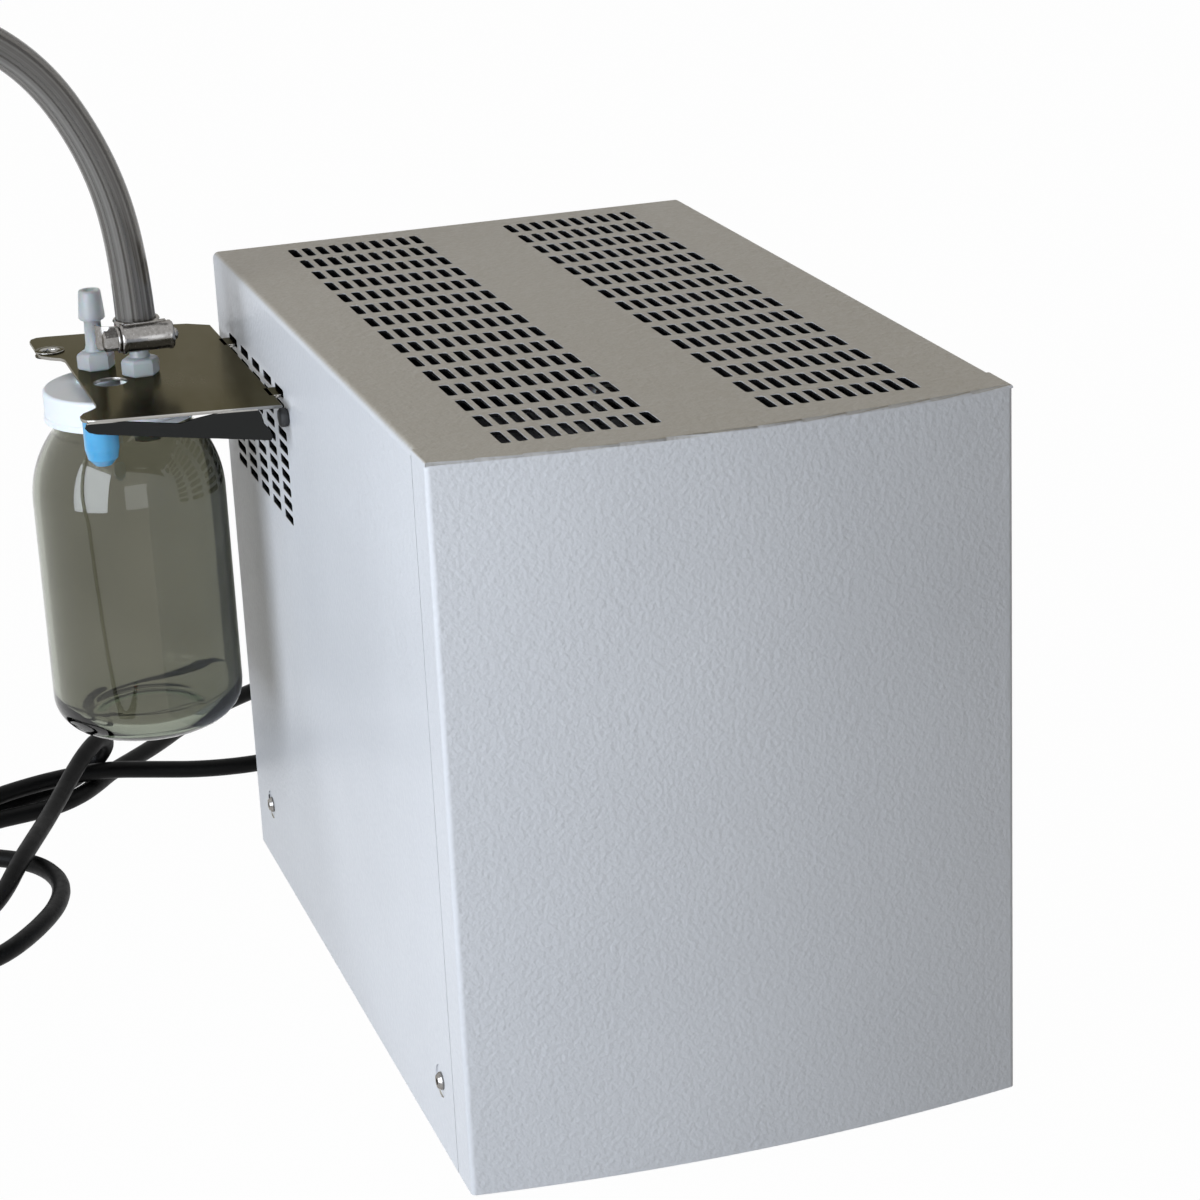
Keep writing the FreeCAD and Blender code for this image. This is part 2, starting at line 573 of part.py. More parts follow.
def make_jar():
    here = ("-jar_x", "jar_y", "0")
    rise = "(jar_neck_z - jar_shoulder_z)"
    shoulder = "((jar_r - jar_neck_r) / 2 + %s * %s / (jar_r - jar_neck_r) / 2)" % (rise, rise)
    inner = "(%s - jar_wall)" % shoulder
    neck = "jar_r - %s + sqrt(%s * %s - %s * %s)" % (shoulder, inner, inner, rise, rise)
    profile = [
        ("0", "jar_base_z + jar_kick"), ("jar_kick_r", "jar_base_z + jar_kick"),
        ("jar_kick_r + jar_kick", "jar_base_z"),
        ("jar_r - jar_corner", "jar_base_z", "jar_corner", "ccw"),
        ("jar_r", "jar_base_z + jar_corner"), ("jar_r", "jar_shoulder_z", shoulder, "ccw"),
        ("jar_neck_r", "jar_neck_z"), ("jar_neck_r", "jar_lip"), (neck, "jar_lip"),
        (neck, "jar_neck_z", inner, "cw"), ("jar_r - jar_wall", "jar_shoulder_z"),
        ("jar_r - jar_wall", "jar_base_z + jar_corner + jar_wall", "jar_corner", "cw"),
        ("jar_r - jar_wall - jar_corner", "jar_base_z + jar_base_wall - jar_kick"),
        ("jar_kick_r", "jar_base_z + jar_base_wall"), ("0", "jar_base_z + jar_base_wall"),
    ]
    profile[11] = (profile[11][0], "jar_base_z + jar_base_wall - jar_kick + jar_corner", "jar_corner", "cw")
    glass = lathe("jar", profile, here)
    node("glass_jar", glass)
    inside = "lid_r - lid_wall"
    lid = [
        ("0", "lid_top - lid_wall"), (inside, "lid_top - lid_wall"), (inside, "lid_low"),
        ("lid_r", "lid_low"), ("lid_r", "lid_low + lid_rim"), ("lid_r - 0.5", "lid_low + lid_rim + 0.5"),
        ("lid_r - 0.5", "lid_top - lid_round", "lid_round", "ccw"), ("lid_r - 0.5 - lid_round", "lid_top"),
        ("0", "lid_top"),
    ]
    blank = lathe("lid_blank", lid, here)
    node("jar_lid", cut("lid", blank, port_holes("lid_hole", "port_shank_r + 0.1", "lid_low", "plate_z")))
    disc = rod("seal_blank", inside + " - fit_gap", "seal_t", ("-jar_x", "jar_y", "lid_top - lid_wall - seal_t"))
    holes = port_holes("seal_hole", "port_shank_r + 0.1", "lid_low", "plate_z")
    node("lid_seal", cut("seal", disc, holes))
    ring = [("port_shank_r + 0.1", "0"), ("port_shank_r + 3.4", "0"), ("port_shank_r + 3.4", "lid_gap"),
            ("port_shank_r + 0.1", "lid_gap")]
    spots = (("-open_port_x", "open_port_y"), ("-hose_port_x", "hose_port_y"))
    spacers = [lathe("spacer_%d" % i, ring, (x, y, "lid_top")) for i, (x, y) in enumerate(spots)]
    node("port_spacers", group("spacers", spacers))
    under = "lid_top - lid_wall - seal_t"
    nuts = []
    for i, (x, y) in enumerate(spots):
        nut = hexagon("nut_blank_%d" % i, "port_hex_af", "port_nut", (x, y, under + " - port_nut"))
        bore = rod("nut_bore_%d" % i, "port_shank_r", "port_nut + 2", (x, y, under + " - port_nut - 1"))
        nuts.append(cut("nut_%d" % i, nut, [bore]))
    node("port_nuts", group("nuts", nuts))


def barb_port(name, shank):
    """A hexagon with a threaded shank below and a stem and hose barb above, bored through."""
    turned = [
        ("0", "-" + shank), ("port_shank_r", "-" + shank), ("port_shank_r", "0"),
        ("port_stem_r + 0.5", "0"), ("port_stem_r + 0.5", "port_hex"),
        ("port_stem_r", "port_hex + port_stem"), ("barb_r", "port_hex + port_stem"),
        ("barb_r", "port_hex + port_stem + 2"), ("barb_tip_r", "port_top"), ("0", "port_top"),
    ]
    blank = fuse(name + "_blank", [lathe(name + "_turned", turned),
                                   hexagon(name + "_hex", "port_hex_af", "port_hex", NOWHERE)])
    bore = rod(name + "_bore", "port_bore_r", "port_top + %s + 2" % shank, ("0", "0", "-%s - 1" % shank))
    return cut(name, blank, [bore])


def make_ports():
    shank = "(plate_t + lid_gap + lid_wall + seal_t + port_nut)"
    at = ("-open_port_x", "open_port_y", "plate_z")
    node("lid_port_open", put(barb_port("port_open", shank), at))
    at = ("-hose_port_x", "hose_port_y", "plate_z")
    node("lid_port_hose", put(barb_port("port_hose", shank), at))
    for name, side in (("rear_port_inlet", "-"), ("rear_port_exhaust", "")):
        at = (side + "rear_port_x", "half_d", "rear_port_z")
        node(name, put(barb_port(name + "_turned", "(wall + 16)"), at, "y"))


# Worm-drive clamp on the hose

def make_clamp():
    band_z = "plate_z + port_hex + band_lift"
    here = ("-hose_port_x", "hose_port_y", band_z)
    band = [("hose_r", "0"), ("hose_r + band_t", "0"), ("hose_r + band_t", "band_w"), ("hose_r", "band_w")]
    strip = lathe("band_ring", band, here)
    front = "hose_port_y - hose_r - band_t"
    tail = box("band_tail", ("band_tail + 2", "band_t", "band_w"),
               ("-hose_port_x - band_tail", front, band_z))
    node("clamp_band", fuse("band", [strip, tail]))
    mid = band_z + " + band_w / 2"
    axle = "hose_port_y - worm_off"
    barrel = rod("worm_barrel", "worm_r", "worm_len", ("-hose_port_x - worm_len * 0.42", axle, mid), "x")
    saddle = box("worm_saddle", ("worm_len * 0.7", "worm_off - hose_r - band_t", "band_w + 1"),
                 ("-hose_port_x - worm_len * 0.3", axle, band_z + " - 0.5"))
    bore = rod("worm_bore", "worm_core_r + 0.3", "worm_len + 2",
               ("-hose_port_x - worm_len * 0.42 - 1", axle, mid), "x")
    node("clamp_housing", cut("worm_housing", fuse("worm_shell", [barrel, saddle]), [bore]))
    end = "-hose_port_x - worm_len * 0.42 - fit_gap"
    core = rod("worm_core", "worm_core_r", "worm_len + fit_gap", (end, axle, mid), "x")
    head = hexagon("worm_hex", "worm_head_af", "worm_head", (end + " - worm_head", axle, mid), "x")
    collar = rod("worm_collar", "worm_r * 0.9", "1.2", (end + " - 1.2", axle, mid), "x")
    slot = box("worm_slot", ("2", "1.2", "worm_head_af + 2"),
               (end + " - worm_head - 0.5", axle + " - 0.6", mid + " - worm_head_af / 2 - 1"))
    node("clamp_screw", cut("worm_screw", fuse("worm_solid", [core, head, collar]), [slot]))


# Drive: deck, motor, shaft with two throws, crankcases, rods and heads

ENDS = (("front", -1), ("rear", 1))


def make_deck():
    holes = [("circle", x + "mount_x", y + "mount_y", "3.2") for x in ("", "-") for y in ("", "-")]
    plate = rectangle("-deck_w / 2", "-deck_d / 2", "deck_w / 2", "deck_d / 2")
    node("pump_deck", prism("deck", [plate] + holes, "deck_t", ("0", "0", "deck_z")))
    mounts = []
    for i, (sx, sy) in enumerate([("", ""), ("-", ""), ("", "-"), ("-", "-")]):
        form = [
            ("0", "0"), ("mount_r", "0"), ("mount_r * 0.8", "mount_rise / 2"), ("mount_r", "mount_rise"),
            ("3", "mount_rise"), ("3", "mount_rise + deck_t + 5"), ("0", "mount_rise + deck_t + 5"),
        ]
        mounts.append(lathe("mount_%d" % i, form, (sx + "mount_x", sy + "mount_y", "floor_z")))
    node("vibration_mounts", group("mounts", mounts))


def make_motor():
    barrel = rod("stator", "motor_r", "motor_len", ("0", "-motor_len / 2", "axis_z"), "y")
    fins = [
        rod("fin_%d" % i, "motor_r + fin_rise", "fin_t",
            ("0", "-motor_len / 2 + %d * motor_len / 8 - fin_t / 2" % (i + 1), "axis_z"), "y")
        for i in range(7)
    ]
    feet = [
        box("motor_foot_%d" % i, ("26", "motor_len", "axis_z - deck_top - motor_r * 0.6"),
            (x, "-motor_len / 2", "deck_top"))
        for i, x in enumerate(("-46", "20"))
    ]
    bells = [
        rod("bell_" + tag, "bell_r", "bell_t", ("0", y, "axis_z"), "y")
        for tag, y in (("front", "-motor_len / 2 - bell_t"), ("rear", "motor_len / 2"))
    ]
    bore = rod("motor_bore", "shaft_r + fit_gap", "motor_len + 2 * bell_t + 2",
               ("0", "-motor_len / 2 - bell_t - 1", "axis_z"), "y")
    node("motor_body", cut("motor", fuse("motor_blank", [barrel] + fins + feet + bells), [bore]))


def make_shaft():
    long = "2 * case_far + fan_t + 15"
    pieces = [rod("axle", "shaft_r", long, ("0", "-case_far + 1", "axis_z"), "y")]
    for tag, sign in ENDS:
        y = "case_mid - eccentric_t / 2" if sign > 0 else "-case_mid - eccentric_t / 2"
        pieces.append(rod("eccentric_" + tag, "eccentric_r", "eccentric_t", ("0", y, "axis_z + throw"), "y"))
    node("motor_shaft", fuse("shaft", pieces))
    make_fan()


def make_fan():
    """Slanted blades between the hub and the fan's rim, built round the origin and then placed."""
    back = ("0", "-fan_t / 2", "0")
    hub = rod("fan_hub", "fan_hub_r", "fan_t", back, "y")
    root = "blade_root"
    blades = []
    for i in range(int(num("fan_blades"))):
        angle = 2 * math.pi * i / num("fan_blades")
        outline = rectangle("-blade_t / 2", "-fan_t", "blade_t / 2", "fan_t")
        at = ("%s * %.6f" % (root, math.sin(angle)), "0", "%s * %.6f" % (root, math.cos(angle)))
        blade = put(prism("blade_%d" % i, [outline], "fan_r - " + root), at)
        spin = FreeCAD.Rotation(FreeCAD.Vector(0, 1, 0), math.degrees(angle))
        tilt = FreeCAD.Rotation(FreeCAD.Vector(0, 0, 1), BLADE_TILT)
        blade.Placement = FreeCAD.Placement(blade.Placement.Base, spin * tilt)
        blades.append(blade)
    rim = rod("fan_rim", "fan_r", "fan_t", back, "y")
    trimmed = doc.addObject("Part::MultiCommon", "fan_trimmed")
    trimmed.Shapes = [fuse("fan_blades_all", blades), rim]
    bore = rod("fan_bore", "shaft_r", "fan_t + 2", ("0", "-fan_t / 2 - 1", "0"), "y")
    fan = cut("fan", fuse("fan_blank", [hub, trimmed]), [bore])
    node("cooling_fan", put(fan, ("0", "fan_y + fan_t / 2", "axis_z")))


def make_shroud():
    square = rectangle("-shroud_out", "-shroud_out", "shroud_out", "shroud_out")
    frame = prism("shroud", [square, ("circle", "0", "0", "fan_r + shroud_gap")], "shroud_t")
    legs = box("shroud_leg", ("2 * (fan_r + shroud_gap)", "shroud_t", "axis_z - deck_top - fan_r - shroud_gap"),
               ("-fan_r - shroud_gap", "fan_y + fan_t / 2 - shroud_t", "deck_top"))
    put(frame, ("0", "fan_y + fan_t / 2", "axis_z"), "-y")
    node("fan_shroud", fuse("shroud_all", [frame, legs]))


def make_head(tag, sign):
    """One pump head: crankcase, rod with its bearing, membrane, valve head, cover and bolts."""
    y0 = "case_y" if sign > 0 else "-case_far"
    mid = "case_mid" if sign > 0 else "-case_mid"
    case = box("case_block_" + tag, ("crankcase_w", "crankcase_d", "case_top - deck_top"),
               ("-crankcase_w / 2", y0, "deck_top"))
    bore = rod("case_bore_" + tag, "crank_bore_r", "crankcase_d + 2", ("0", y0 + " - 1", "axis_z"), "y")
    throat = rod("case_throat_" + tag, "throat_r - 4", "crankcase_rise + 1", ("0", mid, "axis_z"))
    inner = cut("case_" + tag, case, [bore, throat])
    node("crankcase_" + tag, inner)
    ring_y = mid + " - rod_t / 2"
    big = rod("rod_ring_" + tag, "rod_ring_r", "rod_t", ("0", ring_y, "axis_z + throw"), "y")
    shank = box("rod_shank_" + tag, ("rod_shank_w", "rod_t", "case_top - axis_z - throw"),
                ("-rod_shank_w / 2", ring_y, "axis_z + throw"))
    seat = rod("rod_disc_" + tag, "disc_r", "disc_t", ("0", mid, "case_top - 1"))
    eye = rod("rod_eye_" + tag, "rod_ring_r - 4", "rod_t + 2", ("0", ring_y + " - 1", "axis_z + throw"), "y")
    blank = fuse("rod_blank_" + tag, [big, shank, seat])
    node("connecting_rod_" + tag, cut("rod_" + tag, blank, [eye]))
    race = rod("race_" + tag, "rod_ring_r - 4", "rod_t", ("0", ring_y, "axis_z + throw"), "y")
    hole = rod("race_hole_" + tag, "eccentric_r + 0.05", "rod_t + 2", ("0", ring_y + " - 1", "axis_z + throw"), "y")
    node("rod_bearing_" + tag, cut("bearing_" + tag, race, [hole]))
    flat = rectangle("-crankcase_w / 2", "-crankcase_d / 2", "crankcase_w / 2", "crankcase_d / 2")
    opening = ("circle", "0", "0", "throat_r - 4")
    bolts = [
        ("circle", x + "(crankcase_w / 2 - bolt_in)", y + "(crankcase_d / 2 - bolt_in)", "bolt_r")
        for x in ("", "-") for y in ("", "-")
    ]
    node("membrane_" + tag, prism("membrane_sheet_" + tag, [flat, opening] + bolts, "membrane_t",
                                  ("0", mid, "case_top")))
    head = prism("head_block_" + tag, [flat] + bolts, "head_t", ("0", mid, "head_z"))
    dish = cone("head_dish_" + tag, "dish_r - 3", "dish_r - 6", "dish", ("0", mid, "head_z"))
    node("valve_head_" + tag, cut("head_" + tag, head, [dish]))
    lid = prism("head_lid_" + tag, [flat] + bolts, "head_cover_t", ("0", mid, "cover_z"))
    ribs = [
        box("head_rib_%s_%d" % (tag, i), ("4", "crankcase_d - 2 * bolt_in - 8", "4"),
            ("%d * 10 - 22" % i, mid + " - crankcase_d / 2 + bolt_in + 4", "cover_z + head_cover_t"))
        for i in range(5)
    ]
    node("head_cover_" + tag, fuse("head_lid_ribbed_" + tag, [lid] + ribs))
    heads = []
    for i, (x, y) in enumerate([("", ""), ("-", ""), ("", "-"), ("-", "-")]):
        at = (x + "(crankcase_w / 2 - bolt_in)", "%s + %s(crankcase_d / 2 - bolt_in)" % (mid, y),
              "cover_z + head_cover_t")
        shank = "(head_cover_t + head_t + membrane_t)"
        form = [
            ("0", "-" + shank), ("bolt_r", "-" + shank), ("bolt_r", "0"), ("bolt_head_r", "0"),
            ("bolt_head_r", "bolt_head"), ("2.5", "bolt_head"), ("2.5", "bolt_head / 2"),
            ("0", "bolt_head / 2"),
        ]
        heads.append(lathe("head_bolt_%s_%d" % (tag, i), form, at))
    return heads


def make_heads():
    bolts = make_head("front", -1) + make_head("rear", 1)
    node("head_bolts", group("bolts", bolts))


def make_transfer():
    """The gas tube between the two heads, on an elbow at each end."""
    z = "cover_z + head_cover_t / 2"
    elbows = [
        rod("elbow_0", "elbow_r", "elbow_len", ("crankcase_w / 2", "-case_mid", z), "x"),
        rod("elbow_1", "elbow_r", "elbow_len", ("crankcase_w / 2", "case_mid", z), "x"),
        rod("elbow_2", "elbow_r", "elbow_len", ("-crankcase_w / 2", "-case_mid", z), "-x"),
        rod("elbow_3", "elbow_r", "elbow_len", ("exhaust_x", "case_far", z), "y"),
    ]
    node("head_elbows", group("elbows", elbows))
    x = "crankcase_w / 2 + elbow_len - elbow_r"
    tube = rod("tube_blank", "tube_r", "2 * case_mid - 2 * elbow_r", (x, "-case_mid + elbow_r", z), "y")
    bore = rod("tube_bore", "tube_bore_r", "2 * case_mid", (x, "-case_mid", z), "y")
    node("transfer_tube", cut("tube", tube, [bore]))


def make_capacitor():
    axis = "deck_top + capacitor_r + strap_t"
    at = ("capacitor_x", "-capacitor_len / 2", axis)
    node("run_capacitor", rod("capacitor", "capacitor_r", "capacitor_len", at, "y"))
    band = [("capacitor_r", "0"), ("capacitor_r + strap_t", "0"), ("capacitor_r + strap_t", "strap_w"),
            ("capacitor_r", "strap_w")]
    node("capacitor_strap", lathe("strap", band, ("capacitor_x", "-strap_w / 2", axis), "y"))


# Power inlet with its rocker, at the rear

def make_inlet():
    here = ("inlet_x", "half_d", "inlet_z")
    face = rectangle("-inlet_w / 2", "-inlet_rise / 2", "inlet_w / 2", "inlet_rise / 2")
    flange = put(prism("inlet_face", [face], "inlet_flange"),
                 ("inlet_x", "half_d + inlet_flange", "inlet_z"), "-y")
    body = box("inlet_block", ("inlet_w - 7", "inlet_deep", "inlet_rise - 7"),
               ("inlet_x - inlet_w / 2 + 3.5", "half_d - inlet_deep", "inlet_z - inlet_rise / 2 + 3.5"))
    socket = box("inlet_socket", ("socket_w", "20", "socket_rise"),
                 ("inlet_x - socket_w / 2", "half_d + inlet_flange - 18",
                  "inlet_z - socket_low - socket_rise / 2 - 3"))
    bay = box("rocker_bay", ("rocker_w + 1", "rocker_deep + 4", "rocker_rise + 1"),
              ("inlet_x - rocker_w / 2 - 0.5", "half_d + inlet_flange - rocker_deep - 2",
               "inlet_z + rocker_z - rocker_rise / 2 - 3.5"))
    node("power_inlet", cut("inlet", fuse("inlet_blank", [flange, body]), [socket, bay]))
    pins = [
        box("inlet_pin_%d" % i, ("2", "14", "4"),
            ("inlet_x + (%d) * 7 - 1" % (i - 1), "half_d + inlet_flange - 18",
             "inlet_z - socket_low - 5 + %d * 3" % (i % 2)))
        for i in range(3)
    ]
    node("inlet_pins", group("pins", pins))
    pivot = ("inlet_x + rocker_w / 2", "half_d + inlet_flange - 2.5", "inlet_z + rocker_z - 3")
    side = [
        ("-rocker_rise / 2", "-1.8"), ("0", "-4"), ("rocker_rise / 2", "-1"),
        ("rocker_rise / 2 - 1", "1.5"), ("0", "2.2"), ("-rocker_rise / 2 + 1", "4.6"),
    ]
    rocker = prism("rocker", [side], "rocker_w")
    node("power_rocker", put(rocker, pivot, "-x"))


# Crank covers and the gas tubes to the rear ports

def make_crank_covers():
    front = rod("crank_cover_front", "crank_bore_r + 6", "crank_cover_t", ("0", "-case_far - crank_cover_t", "axis_z"), "y")
    rear = rod("crank_cover_blank", "crank_bore_r + 6", "crank_cover_t", ("0", "case_far", "axis_z"), "y")
    hole = rod("crank_cover_hole", "shaft_r + fit_gap", "crank_cover_t + 2", ("0", "case_far - 1", "axis_z"), "y")
    node("crank_covers", group("covers", [front, cut("crank_cover_rear", rear, [hole])]))


def route(points):
    """Straight runs joined by tangent arcs, as one wire; prints the smallest arc's radius."""
    spots = [FreeCAD.Vector(*p) for p in points]
    edges, radii, last = [], [], spots[0]
    for before, corner, after in zip(spots, spots[1:], spots[2:]):
        back, ahead = before - corner, after - corner
        half = (math.pi - back.getAngle(ahead)) / 2
        trim = 0.45 * min(back.Length, ahead.Length)
        radius = trim / math.tan(half)
        inward = (back.normalize() + ahead.normalize()).normalize()
        start, end = corner + back * trim, corner + ahead * trim
        middle = corner + inward * (radius / math.cos(half) - radius)
        edges.append(Part.LineSegment(last, start).toShape())
        edges.append(Part.Arc(start, middle, end).toShape())
        radii.append(round(radius, 1))
        last = end
    edges.append(Part.LineSegment(last, spots[-1]).toShape())
    return Part.Wire(edges), radii


def tube_along(name, points, radius, bore=0):
    """A round tube or cord along a route, whose volume is compared with section times length."""
    wire, radii = route(points)
    start = FreeCAD.Vector(*points[0])
    heading = FreeCAD.Vector(*points[1]) - start

    def sweep(size):
        section = Part.Wire([Part.Circle(start, heading, size).toShape()])
        return wire.makePipeShell([section], True, False)

    shape = sweep(radius)
    if bore:
        shape = shape.cut(sweep(bore))
    expected = math.pi * (radius ** 2 - bore ** 2) * wire.Length
    print(name, "length", round(wire.Length, 1), "volume ratio", round(shape.Volume / expected, 4),
          "radii", radii)
    obj = doc.addObject("Part::Feature", name + "_run")
    obj.Shape = shape
    return node(name, obj)


def make_gas_tubes():
    z = num("cover_z + head_cover_t / 2")
    port = num("rear_port_z")
    port_x = num("rear_port_x")
    inside = num("half_d - wall - 16")
    left = -num("crankcase_w / 2 + elbow_len")
    front = -num("case_mid")
    inlet = [
        (left, front, z), (left - 24, front, z), (left - 30, front + 40, z), (left - 30, front + 110, z),
        (left - 24, front + 175, z), (-port_x, inside - 50, (z + port) / 2),
        (-port_x, inside - 20, port), (-port_x, inside, port),
    ]
    tube_along("inlet_tube", inlet, num("tube_r"), num("tube_bore_r"))
    start = num("case_far + elbow_len")
    side = num("exhaust_x")
    exhaust = [
        (side, start, z), (side, start + 12, z), (port_x, inside - 14, port), (port_x, inside, port),
    ]
    tube_along("exhaust_tube", exhaust, num("tube_r"), num("tube_bore_r"))


# Vacuum hose, with the coupling on its far end

HOSE = [
    (-171.7, 122, 290), (-171.7, 122, 332), (-182, 122, 380), (-208, 121, 425), (-252, 112, 452),
    (-302, 96, 441), (-338, 76, 400), (-355, 54, 335), (-360, 34, 262), (-360, 18, 190),
    (-357, 2, 120), (-350, -18, 62), (-338, -50, 22), (-322, -96, 9), (-310, -150, 8.2),
]


def make_hose():
    tube_along("vacuum_hose", HOSE, num("hose_r"), num("hose_bore_r"))
    end, before = FreeCAD.Vector(*HOSE[-1]), FreeCAD.Vector(*HOSE[-2])
    heading = (end - before).normalize()
    form = [
        ("coupling_bore_r", "-8"), ("hose_bore_r", "-8"), ("hose_bore_r", "0"), ("hose_r", "0"),
        ("hose_r", "6"), ("hose_bore_r", "6"), ("hose_bore_r", "12"), ("hose_bore_r + 0.8", "12"),
        ("hose_bore_r - 0.6", "28"), ("coupling_bore_r", "28"),
    ]
    coupling = lathe("coupling", form)
    coupling.Placement = FreeCAD.Placement(end, FreeCAD.Rotation(FreeCAD.Vector(0, 0, 1), heading))
    PLACES[coupling.Name] = tuple(str(value) for value in end)
    node("hose_coupling", coupling)


# Mains lead, with its connector in the inlet and its plug behind the housing

LEAD = [
    (62, 252, 51), (62, 284, 51), (57, 314, 36), (38, 334, 15), (5, 328, 4.4), (-45, 306, 4.2),
    (-101, 298, 4.2), (-131, 306, 4.2), (-157, 312, 4.6), (-174, 305, 9.2), (-189, 298, 12.4),
    (-206, 297.4, 12.7), (-224, 293.2, 12.8), (-244, 286.4, 12.6), (-269, 281, 9), (-294, 264, 4.6),
    (-312, 234, 4.2), (-316, 198, 4.2), (-302, 169, 4.2), (-277, 155, 4.2), (-257, 172, 6.6),
    (-245, 194, 12), (-235, 213, 13.8), (-225, 235, 14.4), (-214, 257, 17), (-203, 277, 21.5),
    (-193, 292, 25.5), (-184.5, 304, 27), (-180, 315, 20), (-184, 323, 10.5), (-196, 318, 4.6),
    (-211, 305, 4.2), (-228, 295, 4.2), (-248, 290.4, 4.2), (-276, 287, 4.2), (-306, 272, 4.2),
    (-331, 244, 4.2), (-343, 208, 4.2), (-341, 166, 4.2), (-329, 128, 4.2), (-305, 101, 4.2),
    (-279, 96, 4.2), (-262, 112, 4.2), (-245, 132, 4.2), (-232, 155, 4.2), (-226, 180, 4.2),
    (-232, 205, 4.2), (-247, 221, 4.2), (-264, 232, 4.2), (-272, 249, 4.2), (-262, 268, 4.2),
    (-243, 277.5, 4.2), (-222, 281.5, 4.2), (-205, 288, 4.2), (-190, 301.5, 4.2), (-177, 320, 4.2),
    (-160, 334, 4.2), (-145, 350, 4.2), (-126, 374, 4.2), (-98, 398, 4.2), (-64, 416, 6),
    (-36, 422, 11.5), (-8, 422, 11.5),
]


def make_lead():
    tube_along("mains_lead", LEAD, num("lead_r"))
    z = "inlet_z - socket_low - 3"
    grip = box("connector_nose", ("socket_w - 0.6", "38", "socket_rise - 0.6"),
               ("inlet_x - socket_w / 2 + 0.3", "half_d + inlet_flange - 16", z + " - socket_rise / 2 + 0.3"))
    boot = cone("connector_boot", "8", "5", "%s - half_d - inlet_flange - 22" % LEAD[0][1],
                ("inlet_x", "half_d + inlet_flange + 22", z), "y")
    slots = [
        box("connector_slot_%d" % i, ("2.8", "16", "4.8"),
            ("inlet_x + (%d) * 7 - 1.4" % (i - 1), "half_d + inlet_flange - 17",
             "inlet_z - socket_low - 5.4 + %d * 3" % (i % 2)))
        for i in range(3)
    ]
    node("mains_connector", cut("connector", fuse("connector_blank", [grip, boot]), slots))
    x, y, z = LEAD[-1]
    body = box("plug_body", ("30", "26", "23"), (str(x + 16), str(y - 13), "0.2"))
    neck = cone("plug_neck", "5", "9", "17", (str(x), str(y), str(z)), "x")
    plug = fuse("plug_blank", [body, neck])
    node("mains_plug", plug)
    pins = [
        rod("plug_pin_%d" % i, "2.2", "19", (str(x + 46), str(y + side), str(z)), "x")
        for i, side in enumerate((-9.5, 9.5))
    ]
    node("plug_pins", group("plug_pin_set", pins))



make_cover()
make_front()
make_rear()
make_chassis()
make_feet()
make_cover_screws()
make_bracket()
make_jar()
make_ports()
make_clamp()
make_deck()
make_motor()
make_shaft()
make_shroud()
make_crank_covers()
make_heads()
make_transfer()
make_gas_tubes()
make_capacitor()
make_inlet()
make_hose()
make_lead()
doc.recompute()


# Every object has to be sound before anything is written

def check_model():
    faults = [obj.Name for obj in doc.Objects if {"Invalid", "Error"} & set(obj.State)]
    for name, obj in NODES.items():
        shape = obj.Shape
        if shape.isNull() or not shape.isValid() or not shape.Solids:
            faults.append(name)
    if faults:
        raise RuntimeError("these failed: " + ", ".join(faults))


check_model()
for name, obj in NODES.items():
    obj.Shape.exportStep("parts/%s.step" % name)
print(len(NODES), "pieces written")
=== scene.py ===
import json
import math

import bmesh
import bpy
from mathutils import Matrix, Quaternion, Vector


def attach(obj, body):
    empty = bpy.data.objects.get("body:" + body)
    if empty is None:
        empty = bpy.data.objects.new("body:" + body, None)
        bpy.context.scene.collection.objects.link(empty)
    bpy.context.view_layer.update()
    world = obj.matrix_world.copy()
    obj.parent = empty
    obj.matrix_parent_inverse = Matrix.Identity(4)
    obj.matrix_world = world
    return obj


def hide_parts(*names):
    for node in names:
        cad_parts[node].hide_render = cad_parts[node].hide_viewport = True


MM = 0.001

# The part's own frame, and the shift to it from the housing's middle, about which places are given
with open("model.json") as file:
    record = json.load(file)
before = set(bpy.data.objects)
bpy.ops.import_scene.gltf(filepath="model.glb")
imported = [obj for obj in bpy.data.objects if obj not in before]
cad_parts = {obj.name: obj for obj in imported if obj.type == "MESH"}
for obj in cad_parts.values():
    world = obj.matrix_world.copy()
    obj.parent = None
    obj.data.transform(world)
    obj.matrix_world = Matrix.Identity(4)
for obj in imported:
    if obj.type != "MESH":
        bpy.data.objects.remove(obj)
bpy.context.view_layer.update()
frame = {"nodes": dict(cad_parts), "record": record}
SHIFT = Vector((53.25, -13.85, 0)) * MM


def spot(point):
    """A point in the housing's millimetres, as metres in the part's frame."""
    return Vector(point) * MM + SHIFT


# Camera at the photograph's angle

AZIMUTH = -17.26
ELEVATION = 19.18
ROLL = -2.70
LENS = 95.33
EYE = spot((-396.56, -1298.06, 650.72))


def make_camera():
    data = bpy.data.cameras.new("camera")
    data.lens = LENS
    data.sensor_width = 36
    data.sensor_fit = "HORIZONTAL"
    data.clip_start = 0.05
    camera = bpy.data.objects.new("camera", data)
    bpy.context.scene.collection.objects.link(camera)
    turn, rise = math.radians(AZIMUTH), math.radians(ELEVATION)
    ahead = Vector((-math.sin(turn) * math.cos(rise), math.cos(turn) * math.cos(rise), -math.sin(rise)))
    aim = ahead.to_track_quat("-Z", "Y")
    camera.rotation_mode = "QUATERNION"
    camera.rotation_quaternion = aim @ Quaternion((0, 0, 1), math.radians(ROLL))
    camera.location = EYE
    bpy.context.scene.camera = camera


# Materials: small helpers, then one function for each

# Between these two lie most values of a noise
NOISE_LOW, NOISE_HIGH = 0.3, 0.7


